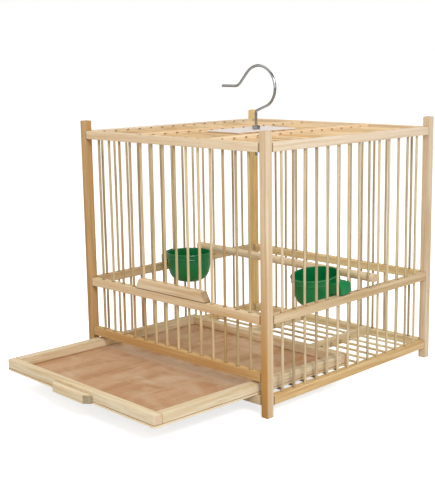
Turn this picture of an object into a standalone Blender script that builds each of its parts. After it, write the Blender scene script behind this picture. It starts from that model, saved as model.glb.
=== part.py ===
"""Wooden birdcage with a lift door, a slide-out tray, two cups, a perch and a swivel hook.

Units are metres, +Z is up. The front, with the door and the tray, faces -Y.
The origin is on the ground, under the middle of the whole object as it stands
with its tray pulled out.
"""

import math

import bmesh
import bpy
from mathutils import Matrix, Vector

# Overall frame
WIDTH = 0.300
DEPTH = 0.300
HEIGHT = 0.300
STICK = 0.0095
STICK_CHAMFER = 0.0005
POST_ABOVE_RAIL = 0.012
FOOT_HEIGHT = 0.013
MID_RAIL_TOP = 0.1094
TRAY_GATE = 0.0157

# Fits
CLEARANCE = 0.0003
OVERRUN = 0.002

# Stub tenons of rails and slats
TENON_LENGTH = 0.002
TENON_THICK_SHARE = 0.38
TENON_TALL_SHARE = 0.6

# Round bars
BAR_DIAMETER = 0.003
BARS_PER_SIDE = 14
DOOR_BARS = 6
BAR_SEAT = 0.003
GRILLE_BAR_DROP = 0.0036
FLOOR_BAR_RISE = 0.0036
ROUND_SIDES = 8

# Lift door
DOOR_STRIP_HEIGHT = 0.0115
DOOR_STRIP_MARGIN = 0.0113
DOOR_STRIP_BEVEL = 0.0065
DOOR_BAR_BELOW_TOP = 0.0006

# Roof and hook plate
SLAT_OFFSET = 0.056
PLATE_WIDTH = 0.053
PLATE_LENGTH = 0.097
PLATE_SHIFT_X = 0.0076
PLATE_TURN = math.radians(3)
PLATE_THICKNESS = 0.0012

# Tray
TRAY_PLAY = 0.0008
TRAY_PULLED_OUT = 0.130
TRAY_SKEW = math.radians(2.5)
TRAY_WALL = 0.010
TRAY_WALL_HEIGHT = 0.0103
TRAY_BOARD = 0.0022
HANDLE_LENGTH = 0.055
HANDLE_FLARE = 0.0085
HANDLE_DEPTH = 0.0072
HANDLE_HEIGHT = 0.0095
HANDLE_OFFSET = 0.003

# Cups
CUP_RIM_RADIUS = 0.0289
CUP_RADIUS = 0.0280
CUP_STEP = 0.0008
CUP_LIP_HEIGHT = 0.0013
CUP_BAND_HEIGHT = 0.0073
CUP_DEPTH = 0.038
CUP_FOOT_RADIUS = 0.0100
CUP_WALL = 0.0016
CUP_CURVE_POWER = 2.6
CUP_CURVE_STEPS = 6
CUP_SIDES = 24
CUP_REACH = 0.0392
CUP_RIM_ABOVE_NECK = 0.0110
CUP_GAP_INDEX = 5
CUP_CLIP_WIDTH = 0.0175
CUP_CLIP_HEIGHT = 0.0126
CUP_CLIP_THICKNESS = 0.0030
CUP_LUG_RISE = 0.0034
CUP_LUG_EDGE = 0.0028
CUP_LUG_SLANT = 0.0030
CUP_NECK_WIDTH = 0.0100
RIGHT_CUP_TILT = math.radians(8)

# Perch
PERCH_DIAMETER = 0.010
PERCH_HEIGHT = 0.1210
PERCH_TIP = 0.0073
PERCH_GRIP = 0.0032
PERCH_BAR_RIGHT = 8
PERCH_BAR_LEFT = 9
PERCH_SIDES = 16

# Hook
WIRE_DIAMETER = 0.0034
HOOK_SHIFT_Y = 0.0034
HOOK_RADIUS = 0.026
HOOK_CENTRE_OFFSET = 0.0048
HOOK_CENTRE_ABOVE_RAIL = 0.0485
HOOK_LOWER_RADIUS = 0.0225
HOOK_LOWER_ANGLE = math.radians(-5)
HOOK_START_ANGLE = math.radians(-70)
HOOK_END_ANGLE = math.radians(137)
HOOK_CORNER_RADIUS = 0.004
HOOK_LEAD = 0.0189
HOOK_FLIP_RADIUS = 0.007
HOOK_TIP_LENGTH = 0.0236
HOOK_ROD_BELOW_RAIL = 0.032
NUT_ACROSS_FLATS = 0.0085
NUT_HEIGHT = 0.0042
WASHER_DIAMETER = 0.026
WASHER_THICKNESS = 0.0015

# Sizes worked out from the driving ones
BAR_RADIUS = BAR_DIAMETER / 2
HOLE_RADIUS = BAR_RADIUS + CLEARANCE / math.cos(math.pi / ROUND_SIDES)
INNER_WIDTH = WIDTH - 2 * STICK
INNER_DEPTH = DEPTH - 2 * STICK
RAIL_X = (WIDTH - STICK) / 2
RAIL_Y = (DEPTH - STICK) / 2
RAIL_TOP = HEIGHT - POST_ABOVE_RAIL
TOP_RAIL_Z = RAIL_TOP - STICK / 2
MID_RAIL_Z = MID_RAIL_TOP - STICK / 2
BOTTOM_RAIL_Z = FOOT_HEIGHT + STICK / 2
BOTTOM_RAIL_TOP = FOOT_HEIGHT + STICK
GATE_RAIL_Z = BOTTOM_RAIL_TOP + TRAY_GATE + STICK / 2
PITCH_X = INNER_WIDTH / (BARS_PER_SIDE + 1)
PITCH_Y = INNER_DEPTH / (BARS_PER_SIDE + 1)
TENON_HALF_THICK = STICK * TENON_THICK_SHARE / 2
TENON_HALF_TALL = STICK * TENON_TALL_SHARE / 2
ROOF_BAR_Z = RAIL_TOP - GRILLE_BAR_DROP
FLOOR_BAR_Z = FOOT_HEIGHT + FLOOR_BAR_RISE
FIRST_DOOR_BAR = (BARS_PER_SIDE - DOOR_BARS) // 2
TRAY_DEPTH = DEPTH - STICK - TRAY_PLAY - INNER_WIDTH / 2 * math.sin(TRAY_SKEW)
TRAY_WIDTH = INNER_WIDTH - 2 * TRAY_PLAY - TRAY_DEPTH * math.sin(TRAY_SKEW)
TRAY_FRONT_X = -TRAY_DEPTH / 2 * math.sin(TRAY_SKEW)
TRAY_Z = BOTTOM_RAIL_TOP + CLEARANCE
TRAY_WALL_Z = TRAY_Z + TRAY_BOARD + CLEARANCE
TRAY_FRONT_Y = -DEPTH / 2 - TRAY_PULLED_OUT
HANDLE_CORNER = HANDLE_LENGTH / 2 - HANDLE_OFFSET
HANDLE_REACH = (HANDLE_DEPTH + CLEARANCE) * math.cos(TRAY_SKEW) + HANDLE_CORNER * math.sin(TRAY_SKEW)
REACH_FRONT = -TRAY_FRONT_Y + max(HANDLE_REACH, TRAY_WIDTH / 2 * math.sin(TRAY_SKEW))
CAGE_SHIFT_Y = (REACH_FRONT - DEPTH / 2) / 2
WIRE_RADIUS = WIRE_DIAMETER / 2
PLATE_Z = ROOF_BAR_Z + BAR_RADIUS + CLEARANCE
WASHER_TOP_Z = ROOF_BAR_Z - BAR_RADIUS - CLEARANCE


def bar_place(index, pitch):
    """Distance of a side's bar from the middle of that side."""
    return (index - (BARS_PER_SIDE - 1) / 2) * pitch


BAR_XS = [bar_place(index, PITCH_X) for index in range(BARS_PER_SIDE)]
BAR_YS = [bar_place(index, PITCH_Y) for index in range(BARS_PER_SIDE)]
SLAT_XS = (-SLAT_OFFSET, SLAT_OFFSET)
DOOR_XS = BAR_XS[FIRST_DOOR_BAR:FIRST_DOOR_BAR + DOOR_BARS]
FIXED_XS = BAR_XS[:FIRST_DOOR_BAR] + BAR_XS[FIRST_DOOR_BAR + DOOR_BARS:]


def clear_scene():
    """Remove whatever the scene holds."""
    for thing in list(bpy.data.objects):
        bpy.data.objects.remove(thing, do_unlink=True)


def make_material(name, colour, roughness, metallic=0.0):
    """Principled material of one plain colour."""
    material = bpy.data.materials.new(name)
    material.use_nodes = True
    shader = material.node_tree.nodes["Principled BSDF"]
    shader.inputs["Base Color"].default_value = (*colour, 1.0)
    shader.inputs["Roughness"].default_value = roughness
    shader.inputs["Metallic"].default_value = metallic
    material.diffuse_color = (*colour, 1.0)
    return material


def make_empty(name, location, parent=None):
    """Empty that carries a moving piece on its joint's axis."""
    empty = bpy.data.objects.new(name, None)
    empty.empty_display_size = STICK
    empty.location = location
    empty.parent = parent
    bpy.context.collection.objects.link(empty)
    return empty


def mesh_from(bm, name, smooth=False):
    """Mesh with outward faces from a bmesh."""
    bmesh.ops.recalc_face_normals(bm, faces=bm.faces)
    mesh = bpy.data.meshes.new(name)
    bm.to_mesh(mesh)
    bm.free()
    if smooth:
        mesh.shade_smooth()
        mesh.set_sharp_from_angle(angle=math.radians(50))
    return mesh


def place(name, mesh, material, parent, location=(0, 0, 0)):
    """Object that shows a mesh."""
    thing = bpy.data.objects.new(name, mesh)
    thing.location = location
    thing.parent = parent
    if material is not None:
        mesh.materials.append(material)
    bpy.context.collection.objects.link(thing)
    return thing


def hide_tool(tool):
    """Mark an object as a cutter or an operand of a Boolean."""
    tool.hide_render = True
    tool.display_type = "WIRE"


def combine(target, tool, operation):
    """Boolean modifier on target with tool as its hidden operand."""
    modifier = target.modifiers.new(operation.title(), "BOOLEAN")
    modifier.operation = operation
    modifier.object = tool
    hide_tool(tool)


def axis_vector(axis, along, side, up):
    """Point of a stick: along its length, across it, and up or across again."""
    if axis == "X":
        return Vector((along, side, up))
    if axis == "Y":
        return Vector((side, along, up))
    return Vector((side, up, along))


def chamfered_rectangle(half_side, half_up, chamfer):
    """Eight corners of a rectangle whose corners are cut."""
    inner_side = half_side - chamfer
    inner_up = half_up - chamfer
    return [
        (half_side, -inner_up), (half_side, inner_up),
        (inner_side, half_up), (-inner_side, half_up),
        (-half_side, inner_up), (-half_side, -inner_up),
        (-inner_side, -half_up), (inner_side, -half_up),
    ]


def add_loft(bm, rings):
    """Closed skin over rings of equal point counts, capped at both ends."""
    loops = [[bm.verts.new(point) for point in ring] for ring in rings]
    for lower, upper in zip(loops, loops[1:]):
        count = len(lower)
        for index in range(count):
            following = (index + 1) % count
            bm.faces.new((lower[index], lower[following], upper[following], upper[index]))
    bm.faces.new(loops[0][::-1])
    bm.faces.new(loops[-1])


def add_stick(bm, axis, stations, offset=Vector()):
    """Square stick; each station is its place along the axis and its half sizes."""
    rings = []
    for along, half_side, half_up, chamfer in stations:
        outline = chamfered_rectangle(half_side, half_up, chamfer)
        rings.append([axis_vector(axis, along, side, up) + offset for side, up in outline])
    add_loft(bm, rings)


def tenoned_stations(inner_length):
    """Stations of a rail or slat that spans inner_length and has a stub tenon at each end."""
    shoulder = inner_length / 2 - CLEARANCE
    tip = shoulder + TENON_LENGTH
    body = (STICK / 2, STICK / 2, STICK_CHAMFER)
    tenon = (TENON_HALF_THICK, TENON_HALF_TALL, CLEARANCE)
    return [
        (-tip, *tenon), (-shoulder, *tenon), (-shoulder, *body),
        (shoulder, *body), (shoulder, *tenon), (tip, *tenon),
    ]


def plain_box(name, size, material, parent, centre):
    """Box object with lightly chamfered long edges."""
    bm = bmesh.new()
    half = [length / 2 for length in size]
    axis = "XYZ"[size.index(max(size))]
    if axis == "X":
        along, side, up = half
    elif axis == "Y":
        side, along, up = half
    else:
        side, up, along = half
    chamfer = min(STICK_CHAMFER, side / 3, up / 3)
    add_stick(bm, axis, [(-along, side, up, chamfer), (along, side, up, chamfer)])
    return place(name, mesh_from(bm, name), material, parent, centre)


def block(name, low, high, parent):
    """Sharp-edged box between two corners, used as a cutter or an operand."""
    low = Vector(low)
    high = Vector(high)
    bm = bmesh.new()
    bmesh.ops.create_cube(bm, size=1.0, matrix=Matrix.LocRotScale(
        (low + high) / 2, None, high - low))
    tool = place(name, mesh_from(bm, name), None, parent)
    hide_tool(tool)
    return tool


def add_round(bm, axis, start, end, across, radius, sides=ROUND_SIDES):
    """Round bar from start to end along an axis, at a place across it."""
    ring_angles = [2 * math.pi * (index + 0.5) / sides for index in range(sides)]
    rings = []
    for along in (start, end):
        rings.append([
            axis_vector(axis, along, across[0] + radius * math.cos(angle),
                        across[1] + radius * math.sin(angle))
            for angle in ring_angles
        ])
    add_loft(bm, rings)


def rounds(name, axis, start, end, places, radius, parent, sides=ROUND_SIDES):
    """One mesh of parallel round bars, used as a cutter or an operand."""
    bm = bmesh.new()
    for across in places:
        add_round(bm, axis, start, end, across, radius, sides)
    tool = place(name, mesh_from(bm, name, smooth=True), None, parent)
    hide_tool(tool)
    return tool


def add_turned(bm, profile, sides, centre=Vector()):
    """Solid of revolution; profile runs from the axis at the top to the axis at the bottom."""
    top = bm.verts.new(centre + Vector((0, 0, profile[0][1])))
    bottom = bm.verts.new(centre + Vector((0, 0, profile[-1][1])))
    loops = []
    for radius, height in profile[1:-1]:
        loop = []
        for index in range(sides):
            angle = 2 * math.pi * (index + 0.5) / sides
            point = Vector((radius * math.cos(angle), radius * math.sin(angle), height))
            loop.append(bm.verts.new(centre + point))
        loops.append(loop)
    for index in range(sides):
        following = (index + 1) % sides
        bm.faces.new((top, loops[0][index], loops[0][following]))
        bm.faces.new((bottom, loops[-1][following], loops[-1][index]))
        for upper, lower in zip(loops, loops[1:]):
            bm.faces.new((upper[index], lower[index], lower[following], upper[following]))


def mortise(name, axis, face, direction, across, parent):
    """Cutter for a stub tenon that enters a face along an axis."""
    inner = face + direction * TENON_LENGTH
    outer = face - direction * OVERRUN
    low_along, high_along = sorted((inner, outer))
    half_thick = TENON_HALF_THICK + CLEARANCE
    half_tall = TENON_HALF_TALL + CLEARANCE
    low = axis_vector(axis, low_along, across[0] - half_thick, across[1] - half_tall)
    high = axis_vector(axis, high_along, across[0] + half_thick, across[1] + half_tall)
    return block(name, low, high, parent)


def build_posts(cage, pine):
    """Four corner posts, each mortised for the rails that meet it."""
    for depth_name, depth_sign in (("front", -1), ("back", 1)):
        levels = [BOTTOM_RAIL_Z, MID_RAIL_Z, TOP_RAIL_Z]
        face_levels = levels + [GATE_RAIL_Z] if depth_sign < 0 else levels
        for side_name, side_sign in (("left", -1), ("right", 1)):
            name = f"post_{depth_name}_{side_name}"
            x = side_sign * RAIL_X
            y = depth_sign * RAIL_Y
            bm = bmesh.new()
            half = STICK / 2
            add_stick(bm, "Z", [
                (0, half - STICK_CHAMFER, half - STICK_CHAMFER, STICK_CHAMFER),
                (STICK_CHAMFER, half, half, STICK_CHAMFER),
                (HEIGHT - STICK_CHAMFER, half, half, STICK_CHAMFER),
                (HEIGHT, half - STICK_CHAMFER, half - STICK_CHAMFER, STICK_CHAMFER),
            ], Vector((x, y, 0)))
            post = place(name, mesh_from(bm, name), pine, cage)
            x_face = side_sign * INNER_WIDTH / 2
            y_face = depth_sign * INNER_DEPTH / 2
            for level in face_levels:
                cutter = mortise(f"{name}_cut_x", "X", x_face, side_sign, (y, level), cage)
                combine(post, cutter, "DIFFERENCE")
            for level in levels:
                cutter = mortise(f"{name}_cut_y", "Y", y_face, depth_sign, (x, level), cage)
                combine(post, cutter, "DIFFERENCE")


def make_rail(name, axis, inner_length, centre, material, cage):
    """Rail of square stick with a stub tenon at each end."""
    bm = bmesh.new()
    add_stick(bm, axis, tenoned_stations(inner_length), Vector(centre))
    return place(name, mesh_from(bm, name), material, cage)


def drill(rail, axis, start, end, places, cage):
    """Cut round holes for bars into a rail."""
    combine(rail, rounds(f"{rail.name}_holes", axis, start, end, places, HOLE_RADIUS, cage), "DIFFERENCE")


def mortise_for_slats(rail, direction, level, cage):
    """Cut the two slat mortises into a front or back rail."""
    for x in SLAT_XS:
        face = direction * INNER_DEPTH / 2
        cutter = mortise(f"{rail.name}_slat_cut", "Y", face, direction, (x, level), cage)
        combine(rail, cutter, "DIFFERENCE")


def build_top_rails(cage, pine):
    """Top rails with seats for side bars and roof bars, and running holes for the door."""
    seat_end = RAIL_TOP - STICK + BAR_SEAT + CLEARANCE
    below = RAIL_TOP - STICK - OVERRUN
    for name, y in (("top_rail_front", -RAIL_Y), ("top_rail_back", RAIL_Y)):
        rail = make_rail(name, "X", INNER_WIDTH, (0, y, TOP_RAIL_Z), pine, cage)
        seats = FIXED_XS if y < 0 else BAR_XS
        drill(rail, "Z", below, seat_end, [(x, y) for x in seats], cage)
        if y < 0:
            drill(rail, "Z", below, RAIL_TOP + OVERRUN, [(x, y) for x in DOOR_XS], cage)
        direction = math.copysign(1, y)
        mortise_for_slats(rail, direction, TOP_RAIL_Z, cage)
    for name, x in (("top_rail_left", -RAIL_X), ("top_rail_right", RAIL_X)):
        rail = make_rail(name, "Y", INNER_DEPTH, (x, 0, TOP_RAIL_Z), pine, cage)
        drill(rail, "Z", below, seat_end, [(x, y) for y in BAR_YS], cage)
        drill_inner_face(rail, x, ROOF_BAR_Z, cage)


def drill_inner_face(rail, x, level, cage):
    """Seats for crosswise bars in the inner face of a left or right rail."""
    direction = math.copysign(1, x)
    face = direction * INNER_WIDTH / 2
    start, end = sorted((face - direction * OVERRUN, face + direction * (BAR_SEAT + CLEARANCE)))
    drill(rail, "X", start, end, [(y, level) for y in BAR_YS], cage)


def build_bottom_rails(cage, pine):
    """Bottom rails with seats for side bars and floor bars, and the rail above the tray."""
    seat_start = BOTTOM_RAIL_TOP - BAR_SEAT - CLEARANCE
    above = BOTTOM_RAIL_TOP + OVERRUN
    for name, y in (("bottom_rail_front", -RAIL_Y), ("bottom_rail_back", RAIL_Y)):
        rail = make_rail(name, "X", INNER_WIDTH, (0, y, BOTTOM_RAIL_Z), pine, cage)
        if y > 0:
            drill(rail, "Z", seat_start, above, [(x, y) for x in BAR_XS], cage)
        direction = math.copysign(1, y)
        mortise_for_slats(rail, direction, BOTTOM_RAIL_Z, cage)
    for name, x in (("bottom_rail_left", -RAIL_X), ("bottom_rail_right", RAIL_X)):
        rail = make_rail(name, "Y", INNER_DEPTH, (x, 0, BOTTOM_RAIL_Z), pine, cage)
        drill(rail, "Z", seat_start, above, [(x, y) for y in BAR_YS], cage)
        drill_inner_face(rail, x, FLOOR_BAR_Z, cage)
    gate = make_rail("gate_rail", "X", INNER_WIDTH, (0, -RAIL_Y, GATE_RAIL_Z), pine, cage)
    gate_top = GATE_RAIL_Z + STICK / 2
    drill(gate, "Z", gate_top - BAR_SEAT - CLEARANCE, gate_top + OVERRUN,
          [(x, -RAIL_Y) for x in BAR_XS], cage)


def build_side_grilles(cage, pine):
    """Left, right and back grilles: a mid rail with its bars through it."""
    low = BOTTOM_RAIL_TOP - BAR_SEAT
    high = RAIL_TOP - STICK + BAR_SEAT
    sides = (
        ("grille_left", "Y", INNER_DEPTH, (-RAIL_X, 0, MID_RAIL_Z), [(-RAIL_X, y) for y in BAR_YS]),
        ("grille_right", "Y", INNER_DEPTH, (RAIL_X, 0, MID_RAIL_Z), [(RAIL_X, y) for y in BAR_YS]),
        ("grille_back", "X", INNER_WIDTH, (0, RAIL_Y, MID_RAIL_Z), [(x, RAIL_Y) for x in BAR_XS]),
    )
    for name, axis, length, centre, places in sides:
        grille = make_rail(name, axis, length, centre, pine, cage)
        bars = rounds(f"{name}_bars", "Z", low, high, places, BAR_RADIUS, cage)
        combine(grille, bars, "UNION")


def build_front(cage, pine, bamboo):
    """Front mid rail with the short bars below the doorway, and the fixed bars beside it."""
    gate_top = GATE_RAIL_Z + STICK / 2
    low = gate_top - BAR_SEAT
    high = RAIL_TOP - STICK + BAR_SEAT
    rail = make_rail("mid_rail_front", "X", INNER_WIDTH, (0, -RAIL_Y, MID_RAIL_Z), pine, cage)
    drill(rail, "Z", MID_RAIL_TOP - STICK - OVERRUN, MID_RAIL_TOP + OVERRUN,
          [(x, -RAIL_Y) for x in FIXED_XS], cage)
    short_bars = rounds("mid_rail_front_bars", "Z", low, MID_RAIL_Z,
                        [(x, -RAIL_Y) for x in DOOR_XS], BAR_RADIUS, cage)
    combine(rail, short_bars, "UNION")
    for number, x in enumerate(FIXED_XS, start=1):
        name = f"front_bar_{number}"
        bm = bmesh.new()
        add_round(bm, "Z", low, high, (x, -RAIL_Y), BAR_RADIUS)
        place(name, mesh_from(bm, name, smooth=True), bamboo, cage)


def build_crosswise_grille(name, slat_z, bar_z, material, cage):
    """Slats from front to back with round bars through them from side to side."""
    bm = bmesh.new()
    for x in SLAT_XS:
        add_stick(bm, "Y", tenoned_stations(INNER_DEPTH), Vector((x, 0, slat_z)))
    grille = place(name, mesh_from(bm, name), material, cage)
    reach = INNER_WIDTH / 2 + BAR_SEAT
    bars = rounds(f"{name}_bars", "X", -reach, reach, [(y, bar_z) for y in BAR_YS], BAR_RADIUS, cage)
    combine(grille, bars, "UNION")


def build_door(cage, bamboo):
    """Lift door: a bevelled strip on the mid rail and the bars that run through the top rail."""
    strip_bottom = MID_RAIL_TOP + CLEARANCE
    lift = make_empty("door_lift_axis", (0, -RAIL_Y, strip_bottom), cage)
    half_bottom = DOOR_XS[-1] + DOOR_STRIP_MARGIN
    half_top = half_bottom - DOOR_STRIP_BEVEL
    height = DOOR_STRIP_HEIGHT
    outline = [(-half_bottom, 0), (half_bottom, 0), (half_top, height), (-half_top, height)]
    bm = bmesh.new()
    inset = STICK / 2 - STICK_CHAMFER
    rings = []
    for y, shrink in ((-STICK / 2, STICK_CHAMFER), (-inset, 0), (inset, 0), (STICK / 2, STICK_CHAMFER)):
        rings.append([
            Vector((x - math.copysign(shrink, x), y, z + shrink if z == 0 else z - shrink))
            for x, z in outline
        ])
    add_loft(bm, rings)
    door = place("lift_door", mesh_from(bm, "lift_door"), bamboo, lift)
    top = RAIL_TOP - DOOR_BAR_BELOW_TOP - strip_bottom
    centres = [(x, 0) for x in DOOR_XS]
    bars = rounds("lift_door_bars", "Z", height / 2, top, centres, BAR_RADIUS, lift)
    combine(door, bars, "UNION")


def build_tray(cage, pine, plywood):
    """Slide-out tray, a little askew: thin board, four walls on it and a pull on the front wall."""
    slide = make_empty("tray_slide_axis", (TRAY_FRONT_X, TRAY_FRONT_Y, TRAY_Z), cage)
    slide.rotation_euler = (0, 0, -TRAY_SKEW)
    board_half = TRAY_BOARD / 2
    wall_z = TRAY_WALL_Z - TRAY_Z + TRAY_WALL_HEIGHT / 2
    plain_box("tray_board", (TRAY_WIDTH, TRAY_DEPTH, TRAY_BOARD), plywood, slide,
              (0, TRAY_DEPTH / 2, board_half))
    plain_box("tray_wall_front", (TRAY_WIDTH, TRAY_WALL, TRAY_WALL_HEIGHT), pine, slide,
              (0, TRAY_WALL / 2, wall_z))
    plain_box("tray_wall_back", (TRAY_WIDTH, TRAY_WALL, TRAY_WALL_HEIGHT), pine, slide,
              (0, TRAY_DEPTH - TRAY_WALL / 2, wall_z))
    side_length = TRAY_DEPTH - 2 * TRAY_WALL - 2 * CLEARANCE
    for name, sign in (("tray_wall_left", -1), ("tray_wall_right", 1)):
        plain_box(name, (TRAY_WALL, side_length, TRAY_WALL_HEIGHT), pine, slide,
                  (sign * (TRAY_WIDTH - TRAY_WALL) / 2, TRAY_DEPTH / 2, wall_z))
    half_front = HANDLE_LENGTH / 2
    half_back = half_front + HANDLE_FLARE
    front = -CLEARANCE - HANDLE_DEPTH
    outline = [(-half_front, front), (half_front, front), (half_back, -CLEARANCE), (-half_back, -CLEARANCE)]
    bm = bmesh.new()
    add_loft(bm, [[Vector((x - HANDLE_OFFSET, y, z)) for x, y in outline] for z in (0, HANDLE_HEIGHT)])
    place("tray_handle", mesh_from(bm, "tray_handle"), pine, slide)


def cup_radius(depth):
    """Outer radius of a cup below its band, on a superellipse."""
    start = CUP_RADIUS - CUP_STEP
    share = (depth - CUP_BAND_HEIGHT) / (CUP_DEPTH - CUP_BAND_HEIGHT)
    return start * (1 - share ** CUP_CURVE_POWER) ** (1 / CUP_CURVE_POWER)


def cup_curve_depths():
    """Depths of the cup's lower profile, closer together towards its foot."""
    reach = CUP_DEPTH - CUP_BAND_HEIGHT
    foot_share = (1 - (CUP_FOOT_RADIUS / (CUP_RADIUS - CUP_STEP)) ** CUP_CURVE_POWER) ** (1 / CUP_CURVE_POWER)
    end_angle = math.asin(foot_share)
    angles = [end_angle * step / CUP_CURVE_STEPS for step in range(CUP_CURVE_STEPS + 1)]
    return [CUP_BAND_HEIGHT + reach * math.sin(angle) for angle in angles]


def cup_mesh_parts(parent):
    """Outer form, cavity cutter and clip blocks of a cup, hung from its neck."""
    axis = Vector((-CUP_REACH, 0, CUP_RIM_ABOVE_NECK))
    curve = [(cup_radius(depth), -depth) for depth in cup_curve_depths()]
    outer = [(0, 0), (CUP_RIM_RADIUS, 0), (CUP_RIM_RADIUS, -CUP_LIP_HEIGHT), (CUP_RADIUS, -CUP_LIP_HEIGHT),
             (CUP_RADIUS, -CUP_BAND_HEIGHT), *curve, (0, curve[-1][1])]
    bm = bmesh.new()
    add_turned(bm, outer, CUP_SIDES, axis)
    form = mesh_from(bm, "cup_form", smooth=True)
    inner_curve = [(radius - CUP_WALL, min(height + CUP_WALL, -CUP_BAND_HEIGHT))
                   for radius, height in curve[1:]]
    inner = [(0, OVERRUN), (CUP_RADIUS - CUP_WALL, OVERRUN), (CUP_RADIUS - CUP_WALL, -CUP_LIP_HEIGHT),
             *inner_curve, (0, inner_curve[-1][1])]
    bm = bmesh.new()
    add_turned(bm, inner, CUP_SIDES, axis)
    cavity = place("cup_cavity", mesh_from(bm, "cup_cavity"), None, parent)
    half_height = CUP_CLIP_HEIGHT / 2
    bar_face = BAR_RADIUS + CLEARANCE
    clip_half = CUP_CLIP_WIDTH / 2
    neck_half = CUP_NECK_WIDTH / 2
    embed = CUP_REACH - CUP_RADIUS + CUP_WALL + CUP_STEP
    shoulder = block("cup_shoulder", (-embed, -clip_half, -half_height),
                     (-bar_face, clip_half, half_height), parent)
    neck_top = half_height + CUP_LUG_RISE - CUP_LUG_SLANT - CLEARANCE
    neck = block("cup_neck", (-embed, -neck_half, CLEARANCE - half_height),
                 (bar_face + CUP_CLIP_THICKNESS / 3, neck_half, neck_top), parent)
    outer_face = bar_face + CUP_CLIP_THICKNESS
    rings = []
    for y, drop in ((-clip_half, 0), (clip_half, CUP_LUG_SLANT)):
        outline = [(bar_face, -half_height), (outer_face, -half_height), (outer_face, CUP_LUG_EDGE),
                   (bar_face, half_height + CUP_LUG_RISE - drop)]
        rings.append([Vector((x, y, z)) for x, z in outline])
    bm = bmesh.new()
    add_loft(bm, rings)
    lug = place("cup_lug", mesh_from(bm, "cup_lug"), None, parent)
    return form, cavity, (shoulder, neck, lug)


def build_cup(name, side_sign, tilt, green, cage):
    """Cup that grips two neighbouring bars and rests on the mid rail."""
    half_height = CUP_CLIP_HEIGHT / 2
    half_width = CUP_CLIP_WIDTH / 2
    drop = half_height * math.cos(tilt) + half_width * math.sin(tilt)
    y = (BAR_YS[CUP_GAP_INDEX] + BAR_YS[CUP_GAP_INDEX + 1]) / 2
    hanger = make_empty(f"{name}_lift_axis", (side_sign * RAIL_X, y, MID_RAIL_TOP + CLEARANCE + drop), cage)
    hanger.rotation_euler = (tilt, 0, 0 if side_sign > 0 else math.pi)
    form, cavity, blocks = cup_mesh_parts(hanger)
    cup = place(name, form, green, hanger)
    for tool in blocks:
        combine(cup, tool, "UNION")
    combine(cup, cavity, "DIFFERENCE")


def build_perch(cage, pine):
    """Dowel whose side notches hold it between a right-hand and a left-hand bar."""
    right_bar = Vector((RAIL_X, BAR_YS[PERCH_BAR_RIGHT], PERCH_HEIGHT))
    left_bar = Vector((-RAIL_X, BAR_YS[PERCH_BAR_LEFT], PERCH_HEIGHT))
    right_end = right_bar + Vector((0, PERCH_GRIP, 0))
    left_end = left_bar - Vector((0, PERCH_GRIP, 0))
    middle = (right_end + left_end) / 2
    span = right_end - left_end
    lift = make_empty("perch_lift_axis", middle, cage)
    half_length = span.length / 2 + PERCH_TIP
    radius = PERCH_DIAMETER / 2
    bm = bmesh.new()
    add_round(bm, "X", -half_length, half_length, (0, 0), radius, PERCH_SIDES)
    bmesh.ops.rotate(bm, verts=bm.verts, cent=(0, 0, 0),
                     matrix=Matrix.Rotation(math.atan2(span.y, span.x), 3, "Z"))
    perch = place("perch", mesh_from(bm, "perch", smooth=True), pine, lift)
    grip = BAR_RADIUS + CLEARANCE
    for label, bar, direction in (("right", right_bar, 1), ("left", left_bar, -1)):
        centre = bar - middle
        inner = centre.y + direction * grip
        outer = centre.y - direction * PERCH_DIAMETER
        low_y, high_y = sorted((inner, outer))
        cutter = block(f"perch_notch_{label}", (centre.x - grip, low_y, -PERCH_DIAMETER),
                       (centre.x + grip, high_y, PERCH_DIAMETER), lift)
        combine(perch, cutter, "DIFFERENCE")


def arc_points(centre, radius, start, end, steps):
    """Points on an arc in the XZ plane, both ends included."""
    angles = [start + (end - start) * step / steps for step in range(steps + 1)]
    return [centre + radius * Vector((math.cos(angle), 0, math.sin(angle))) for angle in angles]


def hook_points():
    """Centre line of the hook's wire, from the rod's lower end to the tip."""
    centre = Vector((HOOK_CENTRE_OFFSET, 0, RAIL_TOP + HOOK_CENTRE_ABOVE_RAIL))
    join = Vector((math.cos(HOOK_LOWER_ANGLE), 0, math.sin(HOOK_LOWER_ANGLE)))
    inward = (HOOK_RADIUS - HOOK_LOWER_RADIUS) * join
    lower = arc_points(centre + inward, HOOK_LOWER_RADIUS, HOOK_START_ANGLE, HOOK_LOWER_ANGLE, 6)
    bight = lower[:-1] + arc_points(centre, HOOK_RADIUS, HOOK_LOWER_ANGLE, HOOK_END_ANGLE, 12)
    rise = HOOK_START_ANGLE + math.pi / 2
    start = bight[0]
    corner = Vector((0, 0, start.z - start.x * math.tan(rise)))
    turn = math.pi / 2 - rise
    setback = HOOK_CORNER_RADIUS * math.tan(turn / 2)
    bend_centre = corner + Vector((HOOK_CORNER_RADIUS, 0, -setback))
    bend = arc_points(bend_centre, HOOK_CORNER_RADIUS, math.pi, math.pi - turn, 4)
    heading = HOOK_END_ANGLE + math.pi / 2
    lead_end = bight[-1] + HOOK_LEAD * Vector((math.cos(heading), 0, math.sin(heading)))
    flip_start = heading + math.pi / 2
    flip_centre = lead_end - HOOK_FLIP_RADIUS * Vector((math.cos(flip_start), 0, math.sin(flip_start)))
    flip = arc_points(flip_centre, HOOK_FLIP_RADIUS, flip_start, math.pi * 3 / 2, 5)
    tip = flip[-1] - Vector((HOOK_TIP_LENGTH, 0, 0))
    rod_end = Vector((0, 0, RAIL_TOP - HOOK_ROD_BELOW_RAIL))
    return [rod_end, *bend, *bight, *flip, tip]


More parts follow.
